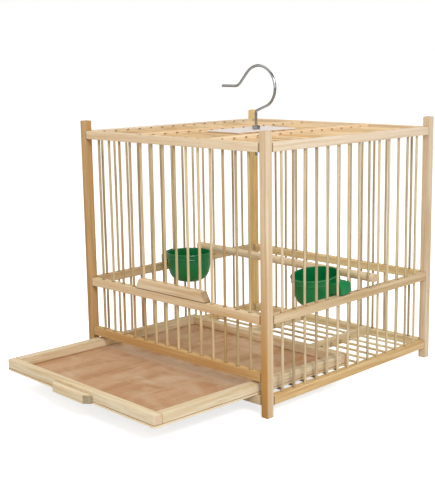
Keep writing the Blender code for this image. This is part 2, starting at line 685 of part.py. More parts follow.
def build_hook(cage, chrome, steel, white):
    """Hook plate on the roof bars, washer under them, and the swivelling hook with its nuts."""
    plate = plain_box("hook_plate", (PLATE_WIDTH, PLATE_LENGTH, PLATE_THICKNESS), white, cage,
                      (-PLATE_SHIFT_X, -HOOK_SHIFT_Y, PLATE_Z + PLATE_THICKNESS / 2))
    plate.rotation_euler = (0, 0, -PLATE_TURN)
    stem = (0, -HOOK_SHIFT_Y)
    hole_radius = WIRE_RADIUS + CLEARANCE / math.cos(math.pi / ROUND_SIDES)
    hole = rounds("hook_plate_hole", "Z", PLATE_Z - OVERRUN, PLATE_Z + PLATE_THICKNESS + OVERRUN,
                  [stem], hole_radius, cage)
    combine(plate, hole, "DIFFERENCE")
    washer_bottom = WASHER_TOP_Z - WASHER_THICKNESS
    bm = bmesh.new()
    add_round(bm, "Z", washer_bottom, WASHER_TOP_Z, stem, WASHER_DIAMETER / 2, CUP_SIDES)
    washer = place("hook_washer", mesh_from(bm, "hook_washer", smooth=True), steel, cage)
    hole = rounds("hook_washer_hole", "Z", washer_bottom - OVERRUN, WASHER_TOP_Z + OVERRUN,
                  [stem], hole_radius, cage)
    combine(washer, hole, "DIFFERENCE")
    swivel = make_empty("hook_turn_axis", (0, -HOOK_SHIFT_Y, 0), cage)
    curve = bpy.data.curves.new("hook_wire", "CURVE")
    curve.dimensions = "3D"
    curve.bevel_depth = WIRE_RADIUS
    curve.bevel_resolution = 2
    curve.use_fill_caps = True
    points = hook_points()
    spline = curve.splines.new("POLY")
    spline.points.add(len(points) - 1)
    for target, point in zip(spline.points, points):
        target.co = (*point, 1)
    curve.materials.append(chrome)
    wire = bpy.data.objects.new("hook_wire", curve)
    wire.parent = swivel
    bpy.context.collection.objects.link(wire)
    nuts = (("hook_nut_upper", PLATE_Z + PLATE_THICKNESS + CLEARANCE),
            ("hook_nut_lower", washer_bottom - CLEARANCE - NUT_HEIGHT))
    for name, low in nuts:
        bm = bmesh.new()
        add_round(bm, "Z", low, low + NUT_HEIGHT, (0, 0), NUT_ACROSS_FLATS / 2 / math.cos(math.pi / 6), 6)
        nut = place(name, mesh_from(bm, name), steel, swivel)
        bore = rounds(f"{name}_bore", "Z", low - OVERRUN, low + NUT_HEIGHT + OVERRUN,
                      [(0, 0)], hole_radius, swivel)
        combine(nut, bore, "DIFFERENCE")


def main():
    """Build the whole cage."""
    clear_scene()
    pine = make_material("pine", (0.72, 0.52, 0.30), 0.6)
    bamboo = make_material("bar_wood", (0.66, 0.46, 0.25), 0.55)
    amber = make_material("amber_wood", (0.80, 0.52, 0.24), 0.6)
    plywood = make_material("plywood", (0.56, 0.36, 0.22), 0.65)
    green = make_material("green_plastic", (0.012, 0.17, 0.055), 0.3)
    white = make_material("white_sheet", (0.85, 0.83, 0.84), 0.45)
    chrome = make_material("chrome", (0.62, 0.62, 0.60), 0.15, 1.0)
    steel = make_material("nut_steel", (0.30, 0.30, 0.31), 0.35, 1.0)
    cage = make_empty("cage", (0, CAGE_SHIFT_Y, 0))
    build_posts(cage, pine)
    build_top_rails(cage, pine)
    build_bottom_rails(cage, pine)
    build_side_grilles(cage, bamboo)
    build_front(cage, pine, bamboo)
    build_crosswise_grille("roof_grille", TOP_RAIL_Z, ROOF_BAR_Z, amber, cage)
    build_crosswise_grille("floor_grille", BOTTOM_RAIL_Z, FLOOR_BAR_Z, pine, cage)
    build_door(cage, bamboo)
    build_tray(cage, pine, plywood)
    build_cup("left_cup", -1, 0.0, green, cage)
    build_cup("right_cup", 1, RIGHT_CUP_TILT, green, cage)
    build_perch(cage, pine)
    build_hook(cage, chrome, steel, white)


main()
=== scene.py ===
"""Dressed model of a square wooden birdcage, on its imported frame.

The solids give every size and place. Each sub-assembly here is modelled anew
with rounded edges, drilled seats, slightly crooked bars and its own finish,
and rides on the body that carries it.
"""

from __future__ import annotations

import logging
import math
import random
from contextlib import contextmanager
from dataclasses import dataclass, field, replace
from enum import Enum
from typing import Any, Callable, Iterator, Sequence

import bmesh
import bpy
from mathutils import Matrix, Vector

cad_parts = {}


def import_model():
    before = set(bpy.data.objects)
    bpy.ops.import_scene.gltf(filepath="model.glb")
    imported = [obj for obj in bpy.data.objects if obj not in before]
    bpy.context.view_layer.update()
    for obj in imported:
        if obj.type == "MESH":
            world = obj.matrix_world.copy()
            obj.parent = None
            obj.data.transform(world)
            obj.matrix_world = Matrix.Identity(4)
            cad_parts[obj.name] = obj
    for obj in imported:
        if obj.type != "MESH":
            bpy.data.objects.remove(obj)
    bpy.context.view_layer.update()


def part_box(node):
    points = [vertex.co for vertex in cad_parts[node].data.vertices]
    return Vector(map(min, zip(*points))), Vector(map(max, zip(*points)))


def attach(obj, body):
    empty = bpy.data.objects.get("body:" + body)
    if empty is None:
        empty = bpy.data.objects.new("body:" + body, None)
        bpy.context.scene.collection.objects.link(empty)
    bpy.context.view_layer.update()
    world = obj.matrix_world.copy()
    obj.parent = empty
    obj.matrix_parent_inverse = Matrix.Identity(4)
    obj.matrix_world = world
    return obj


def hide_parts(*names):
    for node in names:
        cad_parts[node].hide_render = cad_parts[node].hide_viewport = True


MM = 0.001
HAIR = 0.1 * MM
BAR_RADIUS = 1.5 * MM
BAR_SEEDS = {"left_bars": 21, "right_bars": 22, "back_bars": 31, "front_short_bars": 41,
             "front_fixed_bars": 43, "roof_bars": 51, "floor_bars": 53, "door_bars": 61}
LOG = logging.getLogger("birdcage")

Colour = tuple[float, float, float, float]
Material = bpy.types.Material
Place = tuple[float, float, float]
Socket = bpy.types.NodeSocket
Test = Callable[[Vector], bool]
Thing = bpy.types.Object
Tree = bpy.types.NodeTree


class Run(Enum):
    """Axis that a stick's length and its grain follow."""

    X = 0
    Y = 1
    Z = 2

    def turned(self) -> Matrix:
        """Rotation that lays an upright piece along X, or leaves it upright."""
        return Matrix.Rotation(math.pi / 2, 4, "Y") if self is Run.X else Matrix.Identity(4)


class Side(Enum):
    """Side of the cage: the axis of its rails, and which way it lies from the middle."""

    FRONT = (Run.X, -1)
    BACK = (Run.X, 1)
    LEFT = (Run.Y, -1)
    RIGHT = (Run.Y, 1)

    @property
    def word(self) -> str:
        """Name of the side, as the nodes spell it."""
        return self.name.lower()

    @property
    def run(self) -> Run:
        """Axis of the side's rails."""
        return self.value[0]


class Pick(Enum):
    """Kind of mesh element that a selection takes."""

    VERTICES = "VERT"
    EDGES = "EDGE"
    FACES = "FACE"


class Cut(Enum):
    """What a tool does to the piece that it meets."""

    AWAY = "DIFFERENCE"
    TOGETHER = "UNION"


# Finishes


def linear(code: str) -> Colour:
    """Turn an sRGB hex colour to linear light.

    Args:
        code: Colour as six hex digits after a hash.

    Returns:
        Red, green, blue and an alpha of one.
    """
    parts = [int(code[start:start + 2], 16) / 255 for start in (1, 3, 5)]
    light = [part / 12.92 if part <= 0.04045 else ((part + 0.055) / 1.055) ** 2.4
             for part in parts]
    return (light[0], light[1], light[2], 1.0)


def grey(level: float) -> Colour:
    """Neutral colour of one linear level."""
    return (level, level, level, 1.0)


def set_up(tree: Tree, node: bpy.types.Node, inputs: dict[int | str, Any]) -> None:
    """Give a node its settings and links.

    Args:
        tree: Node tree that holds it.
        node: The node.
        inputs: What it gets, by name or number. A socket is linked, "stops" fill a colour ramp,
            and the rest are the node's attributes and the values of its inputs.
    """
    for key, value in inputs.items():
        if isinstance(value, Socket):
            tree.links.new(value, node.inputs[key])
        elif key == "stops":
            while len(node.color_ramp.elements) < len(value):
                node.color_ramp.elements.new(0.5)
            for element, (position, colour) in zip(node.color_ramp.elements, value):
                element.position = position
                element.color = colour
        elif isinstance(key, str) and hasattr(node, key):
            setattr(node, key, value)
        else:
            node.inputs[key].default_value = value


def add_node(tree: Tree, kind: str, inputs: dict[int | str, Any]) -> bpy.types.Node:
    """Add a node with its settings and links.

    Args:
        tree: Node tree that takes the node.
        kind: Blender's name of the node type, without the ShaderNode before it.
        inputs: What the node gets, as in set_up.

    Returns:
        The new node.
    """
    node = tree.nodes.new("ShaderNode" + kind)
    set_up(tree, node, inputs)
    return node


def grain_scale(run: Run, across_mm: float, along_mm: float) -> list[float]:
    """Pattern scale that is fine across the grain and long along it.

    Args:
        run: Axis of the grain.
        across_mm: Size of one feature across the grain.
        along_mm: Size of one feature along the grain.

    Returns:
        Scale for a Mapping node that reads metres.
    """
    scale = [1000 / across_mm] * 3
    scale[run.value] = 1000 / along_mm
    return scale


class Blank:
    """Material under construction, with the coordinates that its patterns read."""

    def __init__(self, name: str) -> None:
        """Make the material with its shader.

        Args:
            name: Name of the material.
        """
        self.material = bpy.data.materials.new(name)
        self.material.use_nodes = True
        self.tree = self.material.node_tree
        seen = add_node(self.tree, "TexCoord", {}).outputs
        self.at, self.normal = seen["Object"], seen["Normal"]

    def finish(self, ground: Socket | Colour, layers: Sequence[tuple[Socket, str]],
               gloss: dict[int | str, Any], height: Socket | None = None, strength: float = 0.0,
               depth_mm: float = 0.05) -> Material:
        """Lay colours over a ground, one above another, and dress the shader with them.

        Args:
            ground: Colour at the bottom.
            layers: Share and hex colour of each layer.
            gloss: Values of the shader's own inputs.
            height: Pattern that stands in relief.
            strength: Strength of the relief.
            depth_mm: Depth of the relief.

        Returns:
            The finished material.
        """
        for share, code in layers:
            ground = add_node(self.tree, "Mix", {"data_type": "RGBA", 0: share, 6: ground,
                                                 7: linear(code)}).outputs[2]
        if height is not None:
            relief = add_node(self.tree, "Bump", {"Strength": strength, "Distance": depth_mm * MM,
                                                  "Height": height})
            gloss = {**gloss, "Normal": relief.outputs[0]}
        set_up(self.tree, self.tree.nodes["Principled BSDF"], {"Base Color": ground, **gloss})
        return self.material


@dataclass(frozen=True)
class Grain:
    """Noise drawn out along the grain, and the share that a second tone takes by it.

    The share is nothing up to one level of the noise and full from another.
    """

    across_mm: float
    along_mm: float
    empty: float
    full: float
    most: float
    detail: float = 2.0
    bend: float = 0.0
    rough: float = 0.5

    def draw(self, blank: Blank, run: Run) -> tuple[Socket, Socket]:
        """Draw the pattern.

        Args:
            blank: Material that takes it.
            run: Axis of the grain.

        Returns:
            The noise, and the share by it.
        """
        spread = add_node(blank.tree, "Mapping", {
            "Scale": grain_scale(run, self.across_mm, self.along_mm), "Vector": blank.at})
        noise = add_node(blank.tree, "TexNoise", {
            "Scale": 1.0, "Detail": self.detail, "Distortion": self.bend, "Roughness": self.rough,
            "Vector": spread.outputs[0]}).outputs["Fac"]
        share = add_node(blank.tree, "ValToRGB", {
            "stops": [(self.empty, grey(0)), (self.full, grey(self.most))], "Fac": noise})
        return noise, share.outputs[0]


@dataclass(frozen=True)
class Finish:
    """Look of one material of the cage."""

    name: str

    def build(self) -> Material:
        """Build the material."""
        raise NotImplementedError(self.name)


@dataclass(frozen=True)
class PlanedSoftwood(Finish):
    """Pale softwood, planed and lightly sanded, with no varnish.

    The eye gets a broad low sheen, fine straight lines of darker latewood, a
    slow drift from straw to pink along a stick, a few small brown marks, and
    cut ends that are darker than the faces. Faces to the front and near the
    floor are yellower, partly from age and partly as painted shade with warm
    bounced light. Joints hold a line of grime and painted shade, and a foot
    can get a painted shadow line. The latewood lines are drawn as coarse as
    they need to be to show.
    """

    run: Run
    early: str = "#ECDBB8"
    late: str = "#CEAC78"
    blush: str = "#E2C8A2"
    cut_end: str = "#BE9668"
    cut_from: float = 0.5
    mark: str = "#8F6238"
    mark_share: float = 0.035
    # Colour of the joint lines of grime and painted shade, and of the painted shadow line along a
    # foot
    dirt_and_shade: str = "#6B5034"
    # Yellowing and painted shade with warm bounced light, on front faces and near the floor
    yellowing_and_shade: str = "#B87C42"
    yellowing_and_shade_share: float = 0.0
    yellowing_and_shade_foot: float = 0.0
    joint_middle: float = 0.0
    joint_reach: float = 0.0
    foot_level: float = 0.0
    lines: Grain = Grain(1.6, 60, 0.46, 0.7, 0.85, detail=3.0, rough=0.6)
    bands: Grain = Grain(5.0, 190, 0.4, 0.66, 0.9, bend=0.5)
    drift: Grain = Grain(26, 170, 0.44, 0.7, 0.6, detail=1.0)

    def build(self) -> Material:
        """Build the material.

        Returns:
            The material.
        """
        blank = Blank(self.name)
        tree = blank.tree
        at = add_node(tree, "SeparateXYZ", {0: blank.at}).outputs
        normal = add_node(tree, "SeparateXYZ", {0: blank.normal}).outputs
        fibre, lines = self.lines.draw(blank, self.run)
        bands = self.bands.draw(blank, self.run)[1]
        grain = add_node(tree, "Math", {"operation": "MAXIMUM", 0: bands, 1: lines}).outputs[0]
        layers = [(grain, self.late), (self.drift.draw(blank, self.run)[1], self.blush),
                  (self._marks(blank), self.mark)]
        # Yellowing and painted shade on front faces near the floor
        if self.yellowing_and_shade_share or self.yellowing_and_shade_foot:
            layers.append((self._yellowing_and_shade(tree, at[2], normal[1]), self.yellowing_and_shade))
        if self.joint_reach:
            layers.append((self._joints(tree, at[self.run.value]), self.dirt_and_shade))
        # Painted shadow line along a foot, such as under the door strip
        if self.foot_level:
            foot = add_node(tree, "MapRange", {
                "From Min": self.foot_level + 1.1 * MM, "From Max": self.foot_level + 0.6 * MM,
                "To Max": 0.85, "Value": at[2]})
            layers.append((foot.outputs[0], self.dirt_and_shade))
        layers.append((self._cut_ends(tree, normal[self.run.value]), self.cut_end))
        return blank.finish(linear(self.early), layers,
                            {"Roughness": 0.58, "Specular IOR Level": 0.3}, fibre, 0.25, 0.15)

    def _marks(self, blank: Blank) -> Socket:
        """Share of the small brown marks, which lie about 22 mm apart.

        Args:
            blank: Material that takes the nodes.

        Returns:
            The share.
        """
        spread = add_node(blank.tree, "Mapping", {"Scale": grain_scale(self.run, 22, 40),
                                                  "Vector": blank.at})
        cells = add_node(blank.tree, "TexVoronoi", {"Scale": 1.0, "Vector": spread.outputs[0]})
        return add_node(blank.tree, "ValToRGB", {
            "stops": [(self.mark_share * 0.6, grey(0.75)), (self.mark_share * 1.6, grey(0))],
            "Fac": cells.outputs["Distance"]}).outputs[0]

    def _yellowing_and_shade(self, tree: Tree, height: Socket, facing: Socket) -> Socket:
        """Share of the yellowing and painted shade with warm bounced light: most on faces to the
        front, and more near the floor.

        Args:
            tree: Node tree of the material.
            height: Height in metres.
            facing: Part of the normal to the back.

        Returns:
            The share.
        """
        front = add_node(tree, "MapRange", {"From Min": 0.15, "From Max": -0.7, "To Min": 0.1,
                                            "Value": facing})
        low = add_node(tree, "MapRange", {
            "From Min": 200 * MM, "From Max": 50 * MM, "To Min": self.yellowing_and_shade_share,
            "To Max": self.yellowing_and_shade_share + self.yellowing_and_shade_foot, "Value": height})
        return add_node(tree, "Math", {"operation": "MULTIPLY", 0: front.outputs[0],
                                       1: low.outputs[0]}).outputs[0]

    def _joints(self, tree: Tree, place: Socket) -> Socket:
        """Share of the dirt and shadow in the last millimetre before a post.

        Args:
            tree: Node tree of the material.
            place: Place along the rail, in metres.

        Returns:
            The share.
        """
        away = add_node(tree, "Math", {"operation": "SUBTRACT", 0: place, 1: self.joint_middle})
        size = add_node(tree, "Math", {"operation": "ABSOLUTE", 0: away.outputs[0]})
        return add_node(tree, "MapRange", {
            "From Min": self.joint_reach - 1.7 * MM, "From Max": self.joint_reach - 1.1 * MM,
            "To Max": 0.75, "Value": size.outputs[0]}).outputs[0]

    def _cut_ends(self, tree: Tree, facing: Socket) -> Socket:
        """Share of the end tone, on faces that are cut across the grain.

        Args:
            tree: Node tree of the material.
            facing: Part of the normal along the grain.

        Returns:
            The share.
        """
        size = add_node(tree, "Math", {"operation": "ABSOLUTE", 0: facing})
        return add_node(tree, "ValToRGB", {
            "stops": [(self.cut_from, grey(0)), (self.cut_from + 0.22, grey(0.55))],
            "Fac": size.outputs[0]}).outputs[0]


@dataclass(frozen=True)
class DrawnBar(Finish):
    """Thin round bars of split wood, drawn through a plate and left bare.

    The eye gets bars of slightly unlike tone side by side, from straw over
    tan to olive, each with long dark fibres and a soft sheen.
    """

    run: Run
    straw: str = "#E0CCA6"
    tan: str = "#B89F7C"
    olive: str = "#B5A886"
    fibre: str = "#7E6B50"
    threads: Grain = Grain(0.9, 45, 0.5, 0.72, 0.55)

    def build(self) -> Material:
        """Build the material.

        Returns:
            The material.
        """
        blank = Blank(self.name)
        tree = blank.tree
        each = add_node(tree, "Attribute", {"attribute_name": "tone"}).outputs["Fac"]
        apart = add_node(tree, "Mapping", {"Scale": grain_scale(self.run, 4, 60),
                                           "Vector": blank.at})
        drift = add_node(tree, "TexNoise", {"Scale": 1.0, "Detail": 1.0,
                                            "Vector": apart.outputs[0]}).outputs["Fac"]
        wander = add_node(tree, "Math", {"operation": "MULTIPLY_ADD", 0: drift, 1: 0.5, 2: -0.25})
        level = add_node(tree, "Math", {"operation": "ADD", 0: each, 1: wander.outputs[0]})
        tone = add_node(tree, "ValToRGB", {
            "stops": [(0.05, linear(self.tan)), (0.4, linear(self.straw)),
                      (0.65, linear(self.straw)), (0.95, linear(self.olive))],
            "Fac": level.outputs[0]})
        thread, share = self.threads.draw(blank, self.run)
        return blank.finish(tone.outputs[0], [(share, self.fibre)],
                            {"Roughness": 0.5, "Specular IOR Level": 0.35}, thread, 0.3, 0.1)


@dataclass(frozen=True)
class ScorchedShadedBore(Finish):
    """Wall of a hole that was drilled fast and left rough.

    The eye gets a small dark brown ring around a bar, blotched where the
    bit burnt it, with no sheen at all. The dark tone is partly scorch and
    partly painted shade inside the hole.
    """

    # Darkest tone: scorch and painted shade inside the hole
    burnt: str = "#55301A"
    torn: str = "#8C5A30"
    blotch_mm: float = 1.43

    def build(self) -> Material:
        """Build the material.

        Returns:
            The material.
        """
        blank = Blank(self.name)
        blotch = add_node(blank.tree, "TexNoise", {"Scale": 1000 / self.blotch_mm,
                                                   "Vector": blank.at}).outputs["Fac"]
        return blank.finish(linear(self.burnt), [(blotch, self.torn)],
                            {"Roughness": 0.9, "Specular IOR Level": 0.15})


@dataclass(frozen=True)
class VeneeredBoard(Finish):
    """Thin plywood with a rotary-cut tropical face veneer, unsealed.

    The eye gets a reddish tan ground with long soft flames from front to
    back, short dark pores, dusty pale streaks and a matt surface. A pale band
    of painted light lies across it in front of the gate rail, where it
    lightens the rail's shadow; its edges show paler plies, and its downward
    faces get painted shade.
    """

    lit_band_y: float
    ground: str = "#CFAA88"
    flame: str = "#BD9069"
    dust: str = "#DCC5A8"
    # Colour of the painted light band by the gate rail
    lit_band: str = "#E6D2BC"
    pore: str = "#93663F"
    edge: str = "#F0DDB8"
    underside_shade: str = "#6E6257"
    flames: Grain = Grain(26, 120, 0.36, 0.64, 1, detail=4.0, bend=1.2)
    dusting: Grain = Grain(60, 34, 0.48, 0.7, 0.6, bend=0.8)
    pores: Grain = Grain(1.0, 9, 0.56, 0.76, 0.5)

    def build(self) -> Material:
        """Build the material.

        Returns:
            The material.
        """
        blank = Blank(self.name)
        tree = blank.tree
        ripple, flames = self.flames.draw(blank, Run.Y)
        dusting = self.dusting.draw(blank, Run.Y)[1]
        pore, pores = self.pores.draw(blank, Run.Y)
        up = add_node(tree, "SeparateXYZ", {0: blank.normal}).outputs[2]
        side = add_node(tree, "MapRange", {"From Min": 0.75, "From Max": 0.35, "Value": up})
        # Painted shade on faces that look down
        under = add_node(tree, "MapRange", {"From Min": -0.05, "From Max": -0.6, "To Max": 0.8,
                                            "Value": up})
        layers = [(flames, self.flame), (dusting, self.dust), (pores, self.pore),
                  (self._band(blank, ripple), self.lit_band), (side.outputs[0], self.edge),
                  (under.outputs[0], self.underside_shade)]
        return blank.finish(linear(self.ground), layers,
                            {"Roughness": 0.66, "Specular IOR Level": 0.25}, pore, 0.3, 0.1)

    def _band(self, blank: Blank, ripple: Socket) -> Socket:
        """Share of the pale band of painted light in front of the gate rail, which lightens the
        rail's shadow.

        Args:
            blank: Material that takes the nodes.
            ripple: Pattern that makes the band's edges uneven.

        Returns:
            The share.
        """
        tree = blank.tree
        place = add_node(tree, "SeparateXYZ", {0: blank.at}).outputs[1]
        uneven = add_node(tree, "Math", {"operation": "MULTIPLY_ADD", 0: ripple, 1: 16 * MM,
                                         2: place})
        away = add_node(tree, "Math", {"operation": "SUBTRACT", 0: uneven.outputs[0],
                                       1: self.lit_band_y + 8 * MM})
        size = add_node(tree, "Math", {"operation": "ABSOLUTE", 0: away.outputs[0]})
        return add_node(tree, "MapRange", {"From Min": 2 * MM, "From Max": 12 * MM, "To Min": 0.62,
                                           "To Max": 0.0, "Value": size.outputs[0]}).outputs[0]


@dataclass(frozen=True)
class MouldedPolystyrene(Finish):
    """Green polystyrene, injection moulded with a fairly bright surface.

    The eye gets a deep even green, a soft window of light on the bowl, faint
    flow marks and fine scuffs.
    """

    body: str = "#048E4D"
    deep: str = "#046F3A"
    flow_mm: float = 18.2
    scuff_mm: float = 1.11

    def build(self) -> Material:
        """Build the material.

        Returns:
            The material.
        """
        blank = Blank(self.name)
        flow = add_node(blank.tree, "TexNoise", {"Scale": 1000 / self.flow_mm, "Distortion": 0.7,
                                                 "Vector": blank.at}).outputs["Fac"]
        scuff = add_node(blank.tree, "TexNoise", {"Scale": 1000 / self.scuff_mm,
                                                  "Vector": blank.at}).outputs["Fac"]
        return blank.finish(linear(self.deep), [(flow, self.body)],
                            {"Roughness": 0.25, "IOR": 1.57, "Specular IOR Level": 0.4},
                            scuff, 0.08)


@dataclass(frozen=True)
class GlossyCard(Finish):
    """White sheet, thin and smooth, laid on the roof bars.

    The eye gets a bright plain white with the least pink in it, a satin
    sheen, and fine handling scratches.
    """

    face: str = "#FBF4F0"
    shade: str = "#F0E6E3"
    cloud_mm: float = 33.3
    scratch_mm: float = 1.43

    def build(self) -> Material:
        """Build the material.

        Returns:
            The material.
        """
        blank = Blank(self.name)
        cloud = add_node(blank.tree, "TexNoise", {"Scale": 1000 / self.cloud_mm,
                                                  "Vector": blank.at}).outputs["Fac"]
        scratch = add_node(blank.tree, "TexNoise", {"Scale": 1000 / self.scratch_mm, "Detail": 1.0,
                                                    "Vector": blank.at}).outputs["Fac"]
        return blank.finish(linear(self.shade), [(cloud, self.face)],
                            {"Roughness": 0.42}, scratch, 0.05)


@dataclass(frozen=True)
class PlatedSteel(Finish):
    """Steel wire or a nut with a thin bright plating.

    The eye gets long bright and dark streaks of the room along the wire, and
    on the nuts a duller, cloudy shine.
    """

    bright: str
    dull: str
    roughness: float
    cloud_mm: float

    def build(self) -> Material:
        """Build the material.

        Returns:
            The material.
        """
        blank = Blank(self.name)
        cloud = add_node(blank.tree, "TexNoise", {"Scale": 1000 / self.cloud_mm, "Detail": 3.0,
                                                  "Vector": blank.at}).outputs["Fac"]
        return blank.finish(linear(self.dull), [(cloud, self.bright)],
                            {"Metallic": 1.0, "Roughness": self.roughness}, cloud, 0.06)


GOLDEN_BARS = DrawnBar("bars_front", Run.Z, "#DFC69A", "#BA9562", "#BBA67B", "#83663D")


# Modelling steps


def take_alone(thing: Thing) -> None:
    """Select one object and make it active.

    Args:
        thing: The object.
    """
    bpy.ops.object.select_all(action="DESELECT")
    thing.select_set(True)
    bpy.context.view_layer.objects.active = thing


@contextmanager
def editing(thing: Thing) -> Iterator[None]:
    """Hold an object in edit mode, with everything in it selected.

    Args:
        thing: The object.

    Yields:
        Nothing, while it is in edit mode.
    """
    take_alone(thing)
    bpy.ops.object.mode_set(mode="EDIT")
    bpy.ops.mesh.select_all(action="SELECT")
    yield
    bpy.ops.object.mode_set(mode="OBJECT")


def select_where(thing: Thing, pick: Pick, test: Test) -> None:
    """Select in edit mode the elements whose middle passes a test.

    Args:
        thing: Object in edit mode.
        pick: Kind of element.
        test: Tells whether a middle point is wanted.
    """
    bpy.ops.mesh.select_mode(type=pick.value)
    bpy.ops.mesh.select_all(action="DESELECT")
    mesh = bmesh.from_edit_mesh(thing.data)
    for part in {Pick.VERTICES: mesh.verts, Pick.EDGES: mesh.edges, Pick.FACES: mesh.faces}[pick]:
        corners = [part] if pick is Pick.VERTICES else list(part.verts)
        if test(sum((corner.co for corner in corners), Vector()) / len(corners)):
            part.select_set(True)
    bmesh.update_edit_mesh(thing.data)


def name_it(thing: Thing, name: str) -> Thing:
    """Give an object and its mesh a name, and return it."""
    thing.name = thing.data.name = name
    return thing


def start_from(primitive: Callable[..., Any], name: str, **sizes: Any) -> Thing:
    """Add a primitive, with its place moved into its mesh.

    Args:
        primitive: Operator that adds it.
        name: Name of the piece.
        sizes: What the operator is told.

    Returns:
        The new object, alone selected.
    """
    bpy.ops.object.select_all(action="DESELECT")
    primitive(**sizes)
    thing = name_it(bpy.context.active_object, name)
    take_alone(thing)
    bpy.ops.object.transform_apply(location=True, rotation=True, scale=True)
    return thing


def put_in_scene(name: str, data: bpy.types.ID) -> Thing:
    """Make an object of a mesh, a curve, a lamp or a camera.

    Args:
        name: Name of the object.
        data: What it shows.

    Returns:
        The object.
    """
    thing = bpy.data.objects.new(name, data)
    bpy.context.scene.collection.objects.link(thing)
    return thing


def rounded_block(name: str, low: Sequence[float], high: Sequence[float], rounding: float,
                  segments: int = 3, moves: Sequence[tuple[Test, Place]] = (),
                  corners: Test | None = None, corner_radius: float = 0.0) -> Thing:
    """Model a block with rounded edges.

    Args:
        name: Name of the piece.
        low: Its lowest corner.
        high: Its highest corner.
        rounding: Radius of the edges.
        segments: Faces across each rounding.
        moves: Which corners are moved before the rounding, and how far.
        corners: Which edges get a larger radius first.
        corner_radius: That larger radius.

    Returns:
        The block, with its place in its mesh.
    """
    low, high = Vector(low), Vector(high)
    block = start_from(bpy.ops.mesh.primitive_cube_add, name, size=1.0, location=(low + high) / 2,
                       scale=high - low)
    with editing(block):
        for test, offset in moves:
            select_where(block, Pick.VERTICES, test)
            bpy.ops.transform.translate(value=offset)
        if corners is not None:
            select_where(block, Pick.EDGES, corners)
            bpy.ops.mesh.bevel(offset=corner_radius, segments=5, affect="EDGES", profile=0.5)
        bpy.ops.mesh.select_mode(type="EDGE")
        bpy.ops.mesh.select_all(action="DESELECT")
        bpy.ops.mesh.edges_select_sharp(sharpness=math.radians(28))
        bpy.ops.mesh.bevel(offset=rounding, segments=segments, affect="EDGES", profile=0.5)
    return block


def apply_boolean(thing: Thing, tool: Thing, cut: Cut) -> None:
    """Cut or join with a tool, which is used up.

    Args:
        thing: Object that is changed.
        tool: Closed object that cuts it or joins it.
        cut: What the tool does.
    """
    step = thing.modifiers.new("Tool", "BOOLEAN")
    step.operation = cut.value
    step.object = tool
    take_alone(thing)
    bpy.ops.object.modifier_apply(modifier=step.name)
    bpy.data.objects.remove(tool, do_unlink=True)


def join(things: Sequence[Thing], name: str) -> Thing:
    """Join objects into one.

    Args:
        things: Objects to join.
        name: Name of the result.

    Returns:
        The joined object.
    """
    take_alone(things[0])
    for thing in things:
        thing.select_set(True)
    if len(things) > 1:
        bpy.ops.object.join()
    return name_it(things[0], name)


def copy_to(thing: Thing, matrix: Matrix) -> Thing:
    """Copy an object with its own mesh, moved by a matrix.

    Args:
        thing: Object to copy.
        matrix: Where the copy's mesh goes.

    Returns:
        The copy.
    """
    mesh = thing.data.copy()
    mesh.transform(matrix)
    return put_in_scene(thing.name, mesh)


def drill(thing: Thing, run: Run, centres: Sequence[Place], radius: float, length: float) -> None:
    """Drill round holes, whose walls get the piece's last material.

    Args:
        thing: Piece to drill.
        run: Axis of the holes.
        centres: Middle of each hole.
        radius: Radius of the holes.
        length: Length of the drill.
    """
    bit = start_from(bpy.ops.mesh.primitive_cylinder_add, "bit", vertices=16, radius=radius,
                     depth=length)
    for material in thing.data.materials:
        bit.data.materials.append(material)
    for face in bit.data.polygons:
        face.material_index = max(len(thing.data.materials) - 1, 0)
    bits = [copy_to(bit, Matrix.Translation(centre) @ run.turned()) for centre in centres]
    bpy.data.objects.remove(bit, do_unlink=True)
    apply_boolean(thing, join(bits, "bits"), Cut.AWAY)


def smooth_up_to(thing: Thing, angle: float) -> None:
    """Shade smooth up to an angle.

    Args:
        thing: Piece to shade.
        angle: Largest smooth angle in degrees.
    """
    take_alone(thing)
    bpy.ops.object.shade_smooth_by_angle(angle=math.radians(angle))


# The workshop


@dataclass
class Workshop:
    """Finishes built so far, and the last steps of every piece."""

    made: dict[Finish, Material] = field(default_factory=dict)

    def dress(self, piece: Thing, *finishes: Finish) -> Thing:
        """Give a piece its materials, each of which is built the first time.

        Args:
            piece: Piece to dress.
            finishes: Its finish, and that of its holes where they have another one.

        Returns:
            The piece.
        """
        for finish in finishes:
            if finish not in self.made:
                self.made[finish] = finish.build()
            piece.data.materials.append(self.made[finish])
        return piece

    def hand_over(self, piece: Thing, slot: str, body: str, nodes: Sequence[str] = (),
                  smooth: float | None = 35.0) -> None:
        """Shade a dressed piece and put it on its body.

        Args:
            piece: Finished piece, with its place in its mesh.
            slot: Material slot of the record. It is not used.
            body: Body that it rides on.
            nodes: Nodes of the frame that it replaces.
            smooth: Largest smooth angle in degrees, or none for a piece that is shaded.
        """
        if smooth:
            smooth_up_to(piece, smooth)
            step = piece.modifiers.new("Flat faces", "WEIGHTED_NORMAL")
            step.keep_sharp = True
            bpy.ops.object.modifier_apply(modifier=step.name)
        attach(piece, body)
        if nodes:
            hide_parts(*nodes)
        LOG.info("%s on %s, %d faces", piece.name, body, len(piece.data.polygons))


# The cage


